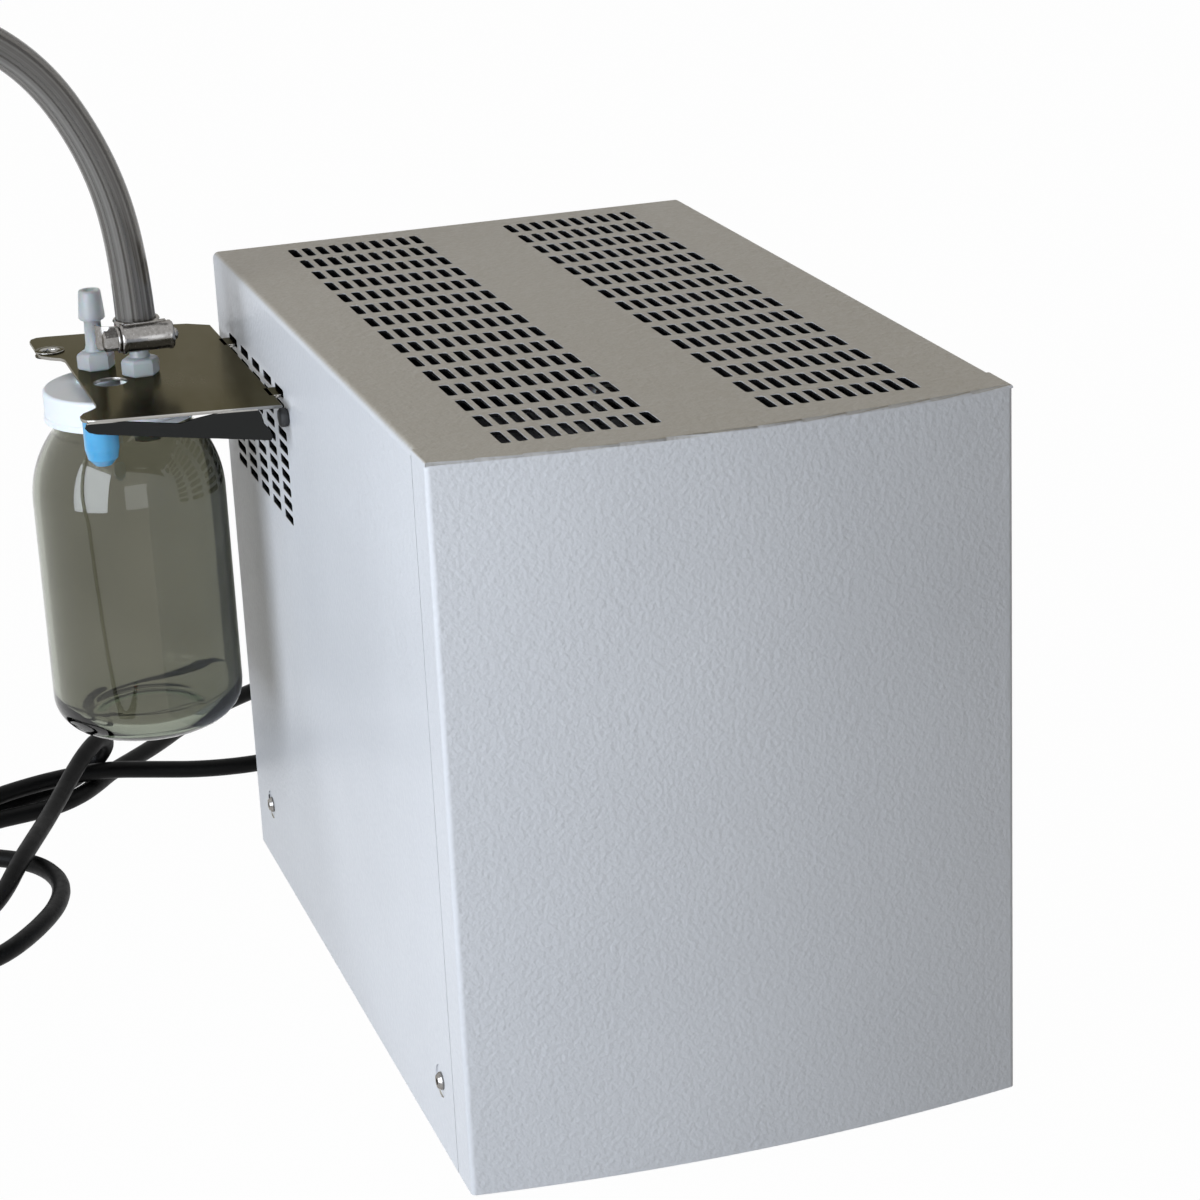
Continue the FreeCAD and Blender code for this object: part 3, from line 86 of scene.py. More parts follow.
class Nodes:
    """A material's node tree with short ways to add and join nodes."""

    def __init__(self, name):
        self.material = bpy.data.materials.new(name)
        self.material.use_nodes = True
        self.tree = self.material.node_tree
        self.shader = self.tree.nodes["Principled BSDF"]
        self.output = self.tree.nodes["Material Output"]
        self.place = self.add("ShaderNodeTexCoord").outputs["Object"]

    def add(self, kind, **settings):
        node = self.tree.nodes.new(kind)
        for key, value in settings.items():
            setattr(node, key, value)
        return node

    def join(self, start, end):
        self.tree.links.new(start, end)

    def put(self, **values):
        """Sets the shader's own sockets."""
        for key, value in values.items():
            self.shader.inputs[key.replace("_", " ")].default_value = value

    def stretched(self, x=1.0, y=1.0, z=1.0):
        mapping = self.add("ShaderNodeMapping")
        mapping.inputs["Scale"].default_value = (x, y, z)
        self.join(self.place, mapping.inputs["Vector"])
        return mapping.outputs["Vector"]

    def noise(self, scale, detail=2.0, rough=0.5, at=None):
        node = self.add("ShaderNodeTexNoise")
        node.inputs["Scale"].default_value = scale
        node.inputs["Detail"].default_value = detail
        node.inputs["Roughness"].default_value = rough
        self.join(at or self.place, node.inputs["Vector"])
        return node.outputs["Fac"]

    def spread(self, value, low=NOISE_LOW, high=NOISE_HIGH, start=0.0, end=1.0):
        """Maps the stretch low to high of a value onto start to end."""
        node = self.add("ShaderNodeMapRange")
        for key, number in zip(("From Min", "From Max", "To Min", "To Max"), (low, high, start, end)):
            node.inputs[key].default_value = number
        self.join(value, node.inputs["Value"])
        return node.outputs["Result"]

    def blend(self, value, first, second):
        node = self.add("ShaderNodeMix", data_type="RGBA")
        node.inputs["A"].default_value = (*first, 1)
        node.inputs["B"].default_value = (*second, 1)
        self.join(value, node.inputs["Factor"])
        return node.outputs["Result"]

    def over(self, mask, under, colour):
        """Lays one colour over another where the mask is one."""
        node = self.add("ShaderNodeMix", data_type="RGBA")
        self.join(mask, node.inputs["Factor"])
        self.join(under, node.inputs["A"])
        node.inputs["B"].default_value = (*colour, 1)
        return node.outputs["Result"]

    def maths(self, operation, first, second=0):
        """A Math node on a socket, with a socket or a number as its second value."""
        node = self.add("ShaderNodeMath", operation=operation)
        self.join(first, node.inputs[0])
        if isinstance(second, bpy.types.NodeSocket):
            self.join(second, node.inputs[1])
        else:
            node.inputs[1].default_value = second
        return node.outputs["Value"]

    def parts(self, vector):
        """The X, Y and Z of a vector, by name."""
        node = self.add("ShaderNodeSeparateXYZ")
        self.join(vector, node.inputs["Vector"])
        return node.outputs

    def from_middle(self, geometry):
        """The place of the shaded point, from the housing's middle."""
        node = self.add("ShaderNodeVectorMath", operation="SUBTRACT")
        self.join(geometry.outputs["Position"], node.inputs[0])
        node.inputs[1].default_value = SHIFT
        return node.outputs["Vector"]

    def colour(self, value, first, second):
        self.join(self.blend(value, first, second), self.shader.inputs["Base Color"])

    def roughness(self, value, start, end):
        self.join(self.spread(value, start=start, end=end), self.shader.inputs["Roughness"])

    def bump(self, value, strength, depth, under=None):
        node = self.add("ShaderNodeBump")
        node.inputs["Strength"].default_value = strength
        node.inputs["Distance"].default_value = depth
        self.join(value, node.inputs["Height"])
        if under:
            self.join(under, node.inputs["Normal"])
        self.join(node.outputs["Normal"], self.shader.inputs["Normal"])
        return node.outputs["Normal"]


# A face is inside where its place times its normal, in metres along an axis, is under the limit
INSIDE = (("X", -0.1), ("Y", -0.15), ("Z", -0.25))

# Where the slots' cut faces are, in metres from the housing's middle: the depth of the sheet they cut
# and how far the slots reach, on the top, on the sides and along both. They stand across their sheet.
TOP_SHELL, TOP_REACH = (0.3105, 0.3127), (-0.01, 0.1135)
SIDE_SHELL, SIDE_REACH = (0.1180, 0.1197), (0.15, 0.303)
BOTH_REACH = (-0.184, 0.184)
STANDING = (-0.5, 0.5)


def inward(n):
    """One on the faces that look into the housing, from how place and normal agree."""
    geometry = n.add("ShaderNodeNewGeometry")
    product = n.add("ShaderNodeVectorMath", operation="MULTIPLY")
    n.join(n.from_middle(geometry), product.inputs[0])
    n.join(geometry.outputs["True Normal"], product.inputs[1])
    agreement = n.parts(product.outputs["Vector"])
    total = 0
    for axis, limit in INSIDE:
        total = n.maths("MAXIMUM", n.maths("LESS_THAN", agreement[axis], limit), total)
    return total


def within(n, value, low, high):
    """One where a value lies between two bounds."""
    return n.maths("MULTIPLY", n.maths("GREATER_THAN", value, low), n.maths("LESS_THAN", value, high))


def slot_walls(n):
    """One on the cut faces of the slots, which lie a little under the top and the two sides."""
    geometry = n.add("ShaderNodeNewGeometry")
    place, facing = n.parts(n.from_middle(geometry)), n.parts(geometry.outputs["True Normal"])
    across = n.maths("ABSOLUTE", place["X"])
    along = within(n, place["Y"], *BOTH_REACH)
    total = 0
    for depth, axis, width, shell, reach in (
        (place["Z"], "Z", across, TOP_SHELL, TOP_REACH),
        (across, "X", place["Z"], SIDE_SHELL, SIDE_REACH),
    ):
        mask = n.maths("MULTIPLY", within(n, depth, *shell), within(n, facing[axis], *STANDING))
        mask = n.maths("MULTIPLY", mask, within(n, width, *reach))
        mask = n.maths("MULTIPLY", mask, along)
        total = n.maths("MAXIMUM", mask, total)
    return total


def powder_grey():
    """Light grey powder coat: a leathery orange peel, a painted warm shade on top for the light there,
    painted shade inside and on the slots' cut faces.
    """
    n = Nodes("powder_grey")
    coat = n.blend(n.spread(n.noise(7, 3)), (0.60, 0.605, 0.62), (0.645, 0.65, 0.665))
    facing = n.parts(n.add("ShaderNodeNewGeometry").outputs["True Normal"])
    # Painted shade: faces that look up take a darker warm tone, for the light that falls on the top.
    top_painted_shade = n.over(n.spread(facing["Z"], 0.6, 0.95), coat, (0.46, 0.42, 0.345))
    # Painted shade: near black on the faces inside the housing and on the slots' cut faces.
    painted_dark_inside = n.maths("MAXIMUM", inward(n), slot_walls(n))
    n.join(n.over(painted_dark_inside, top_painted_shade, (0.012, 0.012, 0.013)), n.shader.inputs["Base Color"])
    peel = n.noise(430, 1.5, 0.5)
    n.roughness(peel, 0.30, 0.42)
    coarse = n.bump(peel, 0.45, 0.0008)
    n.bump(n.noise(1500, 2), 0.12, 0.0002, coarse)
    n.put(IOR=1.5, Specular_IOR_Level=0.13, Coat_Weight=0.07, Coat_Roughness=0.14)
    return n.material


def zinc_steel():
    n = Nodes("zinc_steel")
    cells = n.add("ShaderNodeTexVoronoi")
    cells.inputs["Scale"].default_value = 90
    n.join(n.place, cells.inputs["Vector"])
    n.colour(n.spread(cells.outputs["Distance"], 0.0, 0.8), (0.46, 0.47, 0.49), (0.56, 0.57, 0.58))
    n.roughness(n.noise(60, 3), 0.32, 0.5)
    n.put(Metallic=1.0)
    return n.material


# A face of the bracket is level where it looks up or down by more than this share, and below the plate
# where it is lower than this height in metres
LEVEL, BELOW_PLATE = 0.9, 0.2754


def stainless():
    """Rolled stainless sheet: smears of handling on a flat painted dark for the dark room it mirrors, painted
    shade below the plate, painted highlights on the cut edges.
    """
    n = Nodes("stainless")
    grain = n.noise(900, 3, 0.6, n.stretched(1.0, 0.03, 1.0))
    smear = n.noise(28, 4, 0.6, n.stretched(1.0, 0.35, 1.0))
    # Painted reflection: the flat is dark for the dark room it mirrors; the smears are of handling.
    flat = n.blend(n.spread(smear), (0.065, 0.061, 0.048), (0.125, 0.118, 0.096))
    geometry = n.add("ShaderNodeNewGeometry")
    place, facing = n.parts(geometry.outputs["Position"]), n.parts(geometry.outputs["True Normal"])
    upright = n.maths("LESS_THAN", n.maths("ABSOLUTE", facing["Z"]), LEVEL)
    # Painted highlight: upright cut edges take a lighter colour.
    highlit_edges = n.over(upright, flat, (0.36, 0.35, 0.33))
    # Painted shade: near black below the plate, in the plate's shade.
    below = n.maths("LESS_THAN", place["Z"], BELOW_PLATE)
    n.join(n.over(below, highlit_edges, (0.024, 0.025, 0.025)), n.shader.inputs["Base Color"])
    n.roughness(smear, 0.16, 0.30)
    n.bump(grain, 0.05, 0.0001)
    n.put(Specular_Tint=(0.48, 0.46, 0.40, 1), Metallic=1.0)
    return n.material


def bright_screw():
    n = Nodes("bright_screw")
    wear = n.noise(700, 3)
    n.colour(n.spread(wear), (0.24, 0.23, 0.22), (0.34, 0.33, 0.32))
    n.roughness(wear, 0.12, 0.28)
    n.bump(n.noise(700, 1), 0.05, 0.0001)
    n.put(Specular_Tint=(0.6, 0.58, 0.55, 1), Metallic=1.0)
    return n.material


def black_rubber():
    n = Nodes("black_rubber")
    n.colour(n.noise(200, 3), (0.018, 0.018, 0.019), (0.034, 0.034, 0.035))
    n.roughness(n.noise(90, 2), 0.55, 0.75)
    n.bump(n.noise(1800, 2), 0.15, 0.0002)
    return n.material


def white_plastic():
    n = Nodes("white_plastic")
    n.colour(n.noise(60, 2), (0.84, 0.87, 0.90), (0.89, 0.915, 0.94))
    n.roughness(n.noise(400, 2), 0.34, 0.46)
    n.bump(n.noise(1200, 2), 0.08, 0.0002)
    n.put(Subsurface_Weight=0.12, Subsurface_Scale=0.002)
    return n.material


def milky_plastic():
    """Natural polypropylene: milky, waxy and a little see-through."""
    n = Nodes("milky_plastic")
    n.colour(n.noise(150, 2), (0.68, 0.71, 0.73), (0.80, 0.83, 0.85))
    n.roughness(n.noise(500, 2), 0.30, 0.42)
    n.bump(n.noise(900, 2), 0.10, 0.0002)
    n.put(Transmission_Weight=0.55, IOR=1.49, Subsurface_Weight=0.35, Subsurface_Scale=0.003)
    return n.material


def blue_plastic():
    n = Nodes("blue_plastic")
    n.colour(n.noise(180, 2), (0.045, 0.30, 0.56), (0.075, 0.37, 0.63))
    n.roughness(n.noise(300, 2), 0.16, 0.26)
    n.bump(n.noise(1000, 2), 0.05, 0.0002)
    n.put(Subsurface_Weight=0.2, Subsurface_Scale=0.002, Coat_Weight=0.3)
    return n.material


def clear_glass():
    """Glass tinted dark for the dark room it was seen against, with green thick edges and base."""
    n = Nodes("clear_glass")
    n.put(Transmission_Weight=1.0, IOR=1.5, Roughness=0.0)
    n.colour(n.noise(20, 2), (0.29, 0.278, 0.230), (0.39, 0.375, 0.325))
    n.bump(n.noise(45, 1), 0.10, 0.0008)
    tint = n.add("ShaderNodeVolumeAbsorption")
    tint.inputs["Color"].default_value = (0.30, 0.72, 0.50, 1)
    tint.inputs["Density"].default_value = 26
    n.join(tint.outputs["Volume"], n.output.inputs["Volume"])
    return n.material


def drawn_lines(n, along, around):
    """A noise that runs in long lines along a cord, with its scale each way."""
    mapping = n.add("ShaderNodeMapping")
    mapping.inputs["Scale"].default_value = (along, around, 1)
    n.join(n.add("ShaderNodeTexCoord").outputs["UV"], mapping.inputs["Vector"])
    return n.noise(1.0, 2, 0.6, mapping.outputs["Vector"])


def hose_plastic():
    """Clear tube in a dark smoky grey, with pale painted highlight streaks drawn along it."""
    n = Nodes("hose_plastic")
    lines = drawn_lines(n, 0.6, 14)
    # Painted highlight: pale streaks along the tube, from the same noise as its bump.
    n.colour(n.spread(lines, 0.42, 0.66), (0.075, 0.066, 0.056), (0.46, 0.44, 0.41))
    n.roughness(n.noise(120, 2), 0.04, 0.12)
    n.bump(lines, 0.3, 0.001)
    n.put(Transmission_Weight=0.5, IOR=1.5)
    return n.material


def black_plastic():
    n = Nodes("black_plastic")
    n.colour(n.noise(120, 2), (0.012, 0.012, 0.013), (0.022, 0.022, 0.023))
    n.roughness(n.noise(260, 2), 0.36, 0.52)
    n.bump(n.noise(1400, 2), 0.12, 0.0002)
    return n.material


def lead_plastic():
    """Black cord sheath with a faintly uneven skin."""
    n = Nodes("lead_plastic")
    n.colour(n.noise(90, 2), (0.0012, 0.0012, 0.0012), (0.003, 0.003, 0.003))
    n.roughness(n.noise(200, 2), 0.38, 0.52)
    n.bump(n.noise(420, 2), 0.15, 0.0003)
    n.put(Specular_IOR_Level=0.10)
    return n.material


def black_gloss():
    n = Nodes("black_gloss")
    n.colour(n.noise(80, 2), (0.012, 0.012, 0.012), (0.02, 0.02, 0.02))
    n.roughness(n.noise(150, 2), 0.12, 0.22)
    n.bump(n.noise(800, 1), 0.04, 0.0001)
    return n.material


# Painted shade: dark grey for the shade inside the housing, where these parts sit.
def aluminium():
    n = Nodes("aluminium")
    n.colour(n.noise(90, 3), (0.17, 0.175, 0.185), (0.24, 0.245, 0.26))
    n.roughness(n.noise(250, 3), 0.38, 0.55)
    n.bump(n.noise(900, 3), 0.25, 0.0002)
    n.put(Metallic=1.0, Specular_Tint=(0.3, 0.3, 0.3, 1))
    return n.material


def motor_paint():
    n = Nodes("motor_paint")
    n.colour(n.noise(60, 3), (0.03, 0.033, 0.036), (0.05, 0.053, 0.057))
    n.roughness(n.noise(200, 2), 0.4, 0.6)
    n.bump(n.noise(900, 2), 0.2, 0.0002)
    return n.material


def steel():
    n = Nodes("steel")
    n.colour(n.noise(200, 3), (0.42, 0.42, 0.43), (0.52, 0.52, 0.53))
    n.roughness(n.noise(600, 3, 0.6, n.stretched(1, 12, 1)), 0.22, 0.36)
    n.put(Metallic=1.0)
    return n.material


def brass():
    n = Nodes("brass")
    n.colour(n.noise(300, 3), (0.62, 0.47, 0.22), (0.72, 0.56, 0.28))
    n.roughness(n.noise(500, 3), 0.2, 0.34)
    n.put(Metallic=1.0)
    return n.material


def grey_plastic():
    n = Nodes("grey_plastic")
    n.colour(n.noise(80, 2), (0.17, 0.175, 0.18), (0.23, 0.235, 0.24))
    n.roughness(n.noise(250, 2), 0.42, 0.58)
    n.bump(n.noise(900, 2), 0.1, 0.0002)
    return n.material


FINISHES = {
    make.__name__: make()
    for make in (
        powder_grey, zinc_steel, stainless, bright_screw, black_rubber, white_plastic, milky_plastic,
        blue_plastic, clear_glass, hose_plastic, black_plastic, black_gloss, aluminium, motor_paint,
        steel, brass, grey_plastic,
    )
}


def dress_nodes():
    """Every carried-over node takes the procedural material of its slot in the record."""
    for row in frame["record"]["subparts"]:
        piece = frame["nodes"][row["node"]]
        piece.data.materials.clear()
        piece.data.materials.append(FINISHES[row["material_slot"]])


# Cords: each is one smooth curve along its route

HOSE_R = 8.1 * MM
HOSE_WALL = 2.9 * MM
HOSE_SWELL = (1.16, 1.1)
HOSE = [
    (-171.7, 122, 290), (-171.7, 122, 332), (-182, 122, 380), (-208, 121, 425), (-252, 112, 452),
    (-302, 96, 441), (-338, 76, 400), (-355, 54, 335), (-360, 34, 262), (-360, 18, 190),
    (-357, 2, 120), (-350, -18, 62), (-338, -50, 22), (-322, -96, 9), (-310, -150, 8.2),
]
LEAD_R = 4.6 * MM
LEAD = [
    (62, 252, 51), (62, 284, 51), (59, 312, 43), (45, 334, 28), (20, 341, 13), (-10, 333, 5.6),
    (-45, 314, 4.9), (-73, 302, 4.9), (-101, 298, 4.9), (-130, 301, 5.4), (-157, 304, 8.8),
    (-182, 301.5, 14), (-206, 297.4, 15), (-224, 293.2, 15), (-244, 286.4, 14.6), (-269, 278, 10.6),
    (-294, 263, 5.6), (-314, 240, 4.9), (-325, 212, 4.9), (-327, 184, 4.9), (-319, 164, 4.9),
    (-304, 152, 4.9), (-285, 150, 4.9), (-268, 158, 5.4), (-256, 174, 8), (-245, 194, 14),
    (-235, 213, 16.4), (-225, 235, 17), (-214, 257, 20), (-203, 277, 25.2), (-193, 292, 29.8),
    (-184, 304, 31.6), (-178.5, 315, 24.4), (-182, 324, 13), (-195, 319, 5.4), (-211, 306, 4.9),
    (-228, 297, 4.9), (-248, 292, 4.9), (-276, 288, 4.9), (-306, 272, 4.9), (-331, 244, 4.9),
    (-343, 208, 4.9), (-340, 170, 4.9), (-328, 138, 4.9), (-316, 118, 4.9), (-300, 105, 4.9),
    (-281, 101, 4.9), (-265, 109, 4.9), (-247, 130, 4.9), (-232, 155, 4.9), (-226, 180, 4.9),
    (-230.5, 203, 4.9), (-241, 218.5, 4.9), (-255.5, 229, 4.9), (-265, 240.5, 4.9),
    (-266, 255.5, 4.9), (-259.5, 269, 4.9), (-247, 277, 4.9), (-230, 279.5, 4.9), (-213, 283, 4.9),
    (-198, 293, 4.9), (-187, 306, 4.9), (-177, 320, 4.9), (-161, 335, 4.9), (-145, 351, 4.9),
    (-126, 374, 4.9), (-98, 398, 4.9), (-64, 416, 6.4), (-36, 422, 11.5), (-8, 422, 11.5),
]


def make_curve(name, points, radius, material, swell=()):
    """A smooth tube along the points, the first of them swollen; each carries its radius in metres."""
    data = bpy.data.curves.new(name, "CURVE")
    data.dimensions = "3D"
    data.resolution_u = 10
    data.bevel_depth = 1.0
    data.bevel_resolution = 7
    spline = data.splines.new("NURBS")
    spline.points.add(len(points) - 1)
    for point, place in zip(spline.points, points):
        point.co = (*spot(place), 1)
        point.radius = radius
    spline.order_u = 3
    spline.use_endpoint_u = True
    for point, size in zip(spline.points, swell):
        point.radius = radius * size
    data.materials.append(material)
    obj = bpy.data.objects.new(name, data)
    bpy.context.scene.collection.objects.link(obj)
    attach(obj, "housing")
    return obj


def make_cords():
    hose = make_curve("hose_tube", HOSE, HOSE_R, FINISHES["hose_plastic"], HOSE_SWELL)
    wall = hose.modifiers.new("wall", "SOLIDIFY")
    wall.thickness = HOSE_WALL
    wall.offset = -1
    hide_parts("vacuum_hose")
    lead = make_curve("lead_sheath", LEAD, LEAD_R, lead_plastic())
    lead.data.use_fill_caps = True
    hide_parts("mains_lead")


# Glass jar, drawn again as a smooth vessel with its moulded base

def ring_vertices(mesh, radius, height, axis, steps):
    ring = []
    for i in range(steps):
        turn = 2 * math.pi * i / steps
        out = Vector((radius * math.cos(turn), radius * math.sin(turn), height))
        ring.append(mesh.verts.new(axis + out))
    return ring


def lathe(mesh, profile, axis, steps=96):
    """A closed or open profile of (radius, height) turned about an upright axis."""
    rings = []
    for radius, height in profile:
        if radius == 0:
            rings.append([mesh.verts.new(axis + Vector((0, 0, height)))])
        else:
            rings.append(ring_vertices(mesh, radius, height, axis, steps))
    for lower, upper in zip(rings, rings[1:]):
        for i in range(steps):
            j = (i + 1) % steps
            corners = [lower[i % len(lower)], lower[j % len(lower)]]
            corners += [upper[j % len(upper)], upper[i % len(upper)]]
            face = mesh.faces.new(list(dict.fromkeys(corners)))
            face.smooth = True


def finish_piece(mesh, name, slot, body, replaced=()):
    """Turns a mesh into an object of one slot that rides on a body and may stand for nodes."""
    bmesh.ops.recalc_face_normals(mesh, faces=mesh.faces)
    data = bpy.data.meshes.new(name)
    mesh.to_mesh(data)
    mesh.free()
    data.materials.append(FINISHES[slot])
    obj = bpy.data.objects.new(name, data)
    bpy.context.scene.collection.objects.link(obj)
    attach(obj, body)
    if replaced:
        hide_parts(*replaced)
    return obj


def sheet(mesh, loops, thickness, place):
    """A flat sheet with holes, its outline first, drawn in its own plane and then put in place."""
    data = bpy.data.curves.new("sheet", "CURVE")
    data.dimensions = "2D"
    data.fill_mode = "BOTH"
    data.extrude = (thickness / 2 - EDGE) * MM
    data.bevel_depth = EDGE * MM
    data.offset = -EDGE * MM
    for loop in loops:
        spline = data.splines.new("POLY")
        spline.points.add(len(loop) - 1)
        for point, (x, y) in zip(spline.points, loop):
            point.co = (x * MM, y * MM, 0, 1)
        spline.use_cyclic_u = True
    drawn = bpy.data.objects.new("sheet", data)
    flat = bpy.data.meshes.new_from_object(drawn)
    flat.transform(place)
    mesh.from_mesh(flat)
    bpy.data.objects.remove(drawn)
    bpy.data.curves.remove(data)
    bpy.data.meshes.remove(flat)


def circle(x, y, radius, steps=48):
    turns = [2 * math.pi * i / steps for i in range(steps)]
    return [(x + radius * math.cos(turn), y + radius * math.sin(turn)) for turn in turns]


def arc(cx, cz, radius, start, end, count):
    """Points of an arc in a profile, with its angles in degrees."""
    points = []
    for i in range(count + 1):
        turn = math.radians(start + (end - start) * i / count)
        points.append((cx + radius * math.cos(turn), cz + radius * math.sin(turn)))
    return points


JAR_AXIS = spot((-181, 131, 0))
JAR_R, JAR_WALL, JAR_NECK_R = 45, 3, 32
JAR_BASE, JAR_SHOULDER, JAR_NECK, JAR_LIP = 105, 218, 252, 267.7
JAR_CORNER, JAR_FLOOR, JAR_LIP_ROUND = 17, 6, 1
JAR_FOOT = [(0, 1.5), (20, 1.5), (24, 1), (26, 0)]
JAR_BED = [(14.4, 6.7), (0, 7)]


def shoulder(radius, neck_radius):
    """The arc that leads a wall of one radius in to the neck, from below upwards."""
    step, rise = radius - neck_radius, JAR_NECK - JAR_SHOULDER
    bend = (step * step + rise * rise) / (2 * step)
    return arc(radius - bend, JAR_SHOULDER, bend, 0, math.degrees(math.asin(rise / bend)), 14)


def make_jar():
    outside = [(radius, JAR_BASE + height) for radius, height in JAR_FOOT]
    outside += arc(JAR_R - JAR_CORNER, JAR_BASE + JAR_CORNER, JAR_CORNER, -90, 0, 8)
    outside += shoulder(JAR_R, JAR_NECK_R)
    lip, lip_z = JAR_LIP_ROUND, JAR_LIP - JAR_LIP_ROUND
    outside += arc(JAR_NECK_R - lip, lip_z, lip, 0, 90, 3)
    inner_r, inner_neck = JAR_R - JAR_WALL, JAR_NECK_R - JAR_WALL
    inside = arc(inner_neck + lip, lip_z, lip, 90, 180, 3)
    inside += shoulder(inner_r, inner_neck)[::-1]
    inner_corner = JAR_CORNER - JAR_WALL
    inside += arc(inner_r - inner_corner, JAR_BASE + JAR_FLOOR + inner_corner, inner_corner, 0, -90, 8)
    inside += [(radius, JAR_BASE + height) for radius, height in JAR_BED]
    mesh = bmesh.new()
    lathe(mesh, in_metres(outside + inside), JAR_AXIS)
    finish_piece(mesh, "jar_glass", "clear_glass", "jar", ["glass_jar"])


# Bracket: one sheet with its flange, finger, tongue and hooks, and what is fitted to it

EDGE = 0.2
PLATE_T = 1.5
PLATE_Z = 277
PLATE_X = -124
PLATE = [
    (-124, 38), (-150, 42.4), (-204, 51), (-208, 52.4), (-210.2, 56), (-210.2, 61), (-208, 65.5),
    (-203.6, 69.5), (-201, 73), (-200.4, 77), (-200.4, 164), (-202, 168), (-206, 171.5), (-209.6, 176),
    (-210.6, 181), (-210.6, 207), (-209.4, 211), (-206.4, 213.4), (-202, 213.4), (-184, 210.4),
    (-142, 208.4), (-134, 206), (-124, 198),
]
PLATE_HOLES = ((-187.4, 113.7, 7.8), (-204.4, 184, 5.4), (-188.8, 142.9, 6.6), (-171.7, 122, 6.6))
FLANGE_LINE = Vector((-86.5, 14.0, 0)).normalized()
FLANGE = [
    (11, -0.9), (9.4, -4), (8.6, -8), (6.4, -11), (5.2, -14.4), (6, -15.9), (30, -12.9), (47.5, -10.9),
    (68.3, -8.2), (82.1, -6.4), (85.4, -5.3), (86.9, -3.4), (86.2, -1.6), (84.2, -0.8), (81.5, -0.9),
    (67.7, -1.9), (55.6, -3.5), (45.2, -4.7), (38.1, -3.0), (25.6, -0.9),
]
TONGUE = [
    (-206.5, 275.6), (-206.5, 262.5), (-205.6, 260.4), (-203.5, 259.5), (-197.5, 259.5), (-195.4, 260.4),
    (-194.5, 262.5), (-194.5, 275.6),
]
TONGUE_Y = 59
HOOK_ROWS = (62.5, 161.94)
HOOK_WIDE, HOOK_DROP, HOOK_IN = 13.6, 7, -116.8
HOOK_LAP, HOOK_UNDER = 2, 0.3
ROLL_IN, ROLL_PROUD, RIM_WIDE, RIM_PROUD = 0.2, 0.75, 1.6, 0.7


def in_metres(profile):
    return [(radius * MM, height * MM) for radius, height in profile]


def frame_of(along, up, out, origin):
    """The matrix that carries a sheet's own axes onto three directions at an origin."""
    matrix = Matrix((along, up, out)).transposed().to_4x4()
    matrix.translation = origin
    return matrix


def make_bracket():
    mesh = bmesh.new()
    level = Matrix.Translation(spot((0, 0, PLATE_Z - PLATE_T / 2)))
    sheet(mesh, [PLATE] + [circle(*hole) for hole in PLATE_HOLES], PLATE_T, level)
    right, back, up = Vector((1, 0, 0)), Vector((0, 1, 0)), Vector((0, 0, 1))
    out = FLANGE_LINE.cross(up)
    corner = spot((PLATE_X, PLATE[0][1], PLATE_Z)) + out * (PLATE_T / 2 * MM)
    sheet(mesh, [FLANGE], PLATE_T, frame_of(FLANGE_LINE, up, out, corner))
    sheet(mesh, [TONGUE], PLATE_T, frame_of(right, up, -back, spot((0, TONGUE_Y, 0))))
    for y in HOOK_ROWS:
        low, high = y - HOOK_WIDE / 2, y + HOOK_WIDE / 2
        lap = PLATE_X - HOOK_LAP
        neck = [(lap, low), (HOOK_IN, low), (HOOK_IN, high), (lap, high)]
        sheet(mesh, [neck], PLATE_T, level)
        foot, head = PLATE_Z - PLATE_T - HOOK_DROP, PLATE_Z - HOOK_UNDER
        drop = [(low, foot), (high, foot), (high, head), (low, head)]
        inside = spot((HOOK_IN - PLATE_T / 2, 0, 0))
        sheet(mesh, [drop], PLATE_T, frame_of(back, up, right, inside))
    finish_piece(mesh, "bracket_sheet", "stainless", "housing", ["jar_bracket"])
    mesh = bmesh.new()
    x, y, bore = PLATE_HOLES[1]
    outer = bore + RIM_WIDE
    rim = arc(bore + ROLL_IN, PLATE_T / 2, PLATE_T / 2 + ROLL_PROUD, 100, 260, 10)
    rim += [(outer, -RIM_PROUD), (outer, 0), (bore, 0), (bore, PLATE_T), (outer, PLATE_T)]
    rim += [(outer, PLATE_T + RIM_PROUD)]
    lathe(mesh, in_metres(rim + rim[:1]), spot((x, y, PLATE_Z - PLATE_T)), steps=48)
    finish_piece(mesh, "rolled_eyelet", "stainless", "housing", ["bracket_eyelet"])


# Worm-drive clamp: a band with rolled edges and a flared tail, a pressed shell and its screw

CLAMP_AT = (-171.7, 122)
BAND_Z, BAND_W, BAND_R = 291.5, 12, 9.3
BAND = [
    (BAND_R, 0), (BAND_R + 1.1, 0), (BAND_R + 1.5, 0.7), (BAND_R + 0.9, 1.5), (BAND_R + 0.9, 10.5),
    (BAND_R + 1.5, 11.3), (BAND_R + 1.1, BAND_W), (BAND_R, BAND_W), (BAND_R, 0),
]
TAIL = [(-168, 111.4), (-176, 111.4), (-183, 111.6), (-187, 112.6), (-190, 115), (-191.5, 118.5)]
TAIL_T = 0.8
WORM_Y, WORM_Z = 107.6, 297.5
SHELL_X, SHELL_LONG = -182, 24.5
SHELL = [
    (3.4, 0), (5.6, 0), (6.5, 0.5), (6.9, 1.4), (6.5, 2.4), (6.2, 3), (6.2, 21.4), (6.7, 22.3), (6.6, 23.4),
    (5.8, 24.2), (3.4, 24.5), (3.4, 0),
]
SADDLE = [(-9.5, -6.6), (9.5, -6.6), (9.5, 6.6), (-9.5, 6.6)]
SADDLE_Y, SADDLE_T = 110.2, 3.4
SCREW_HEAD = [(0, 0), (3.7, 0), (4.9, 0.9), (4.9, 6.6), (0, 6.6)]
SCREW_FLAT, SCREW_GAP = 7.7, 0.2
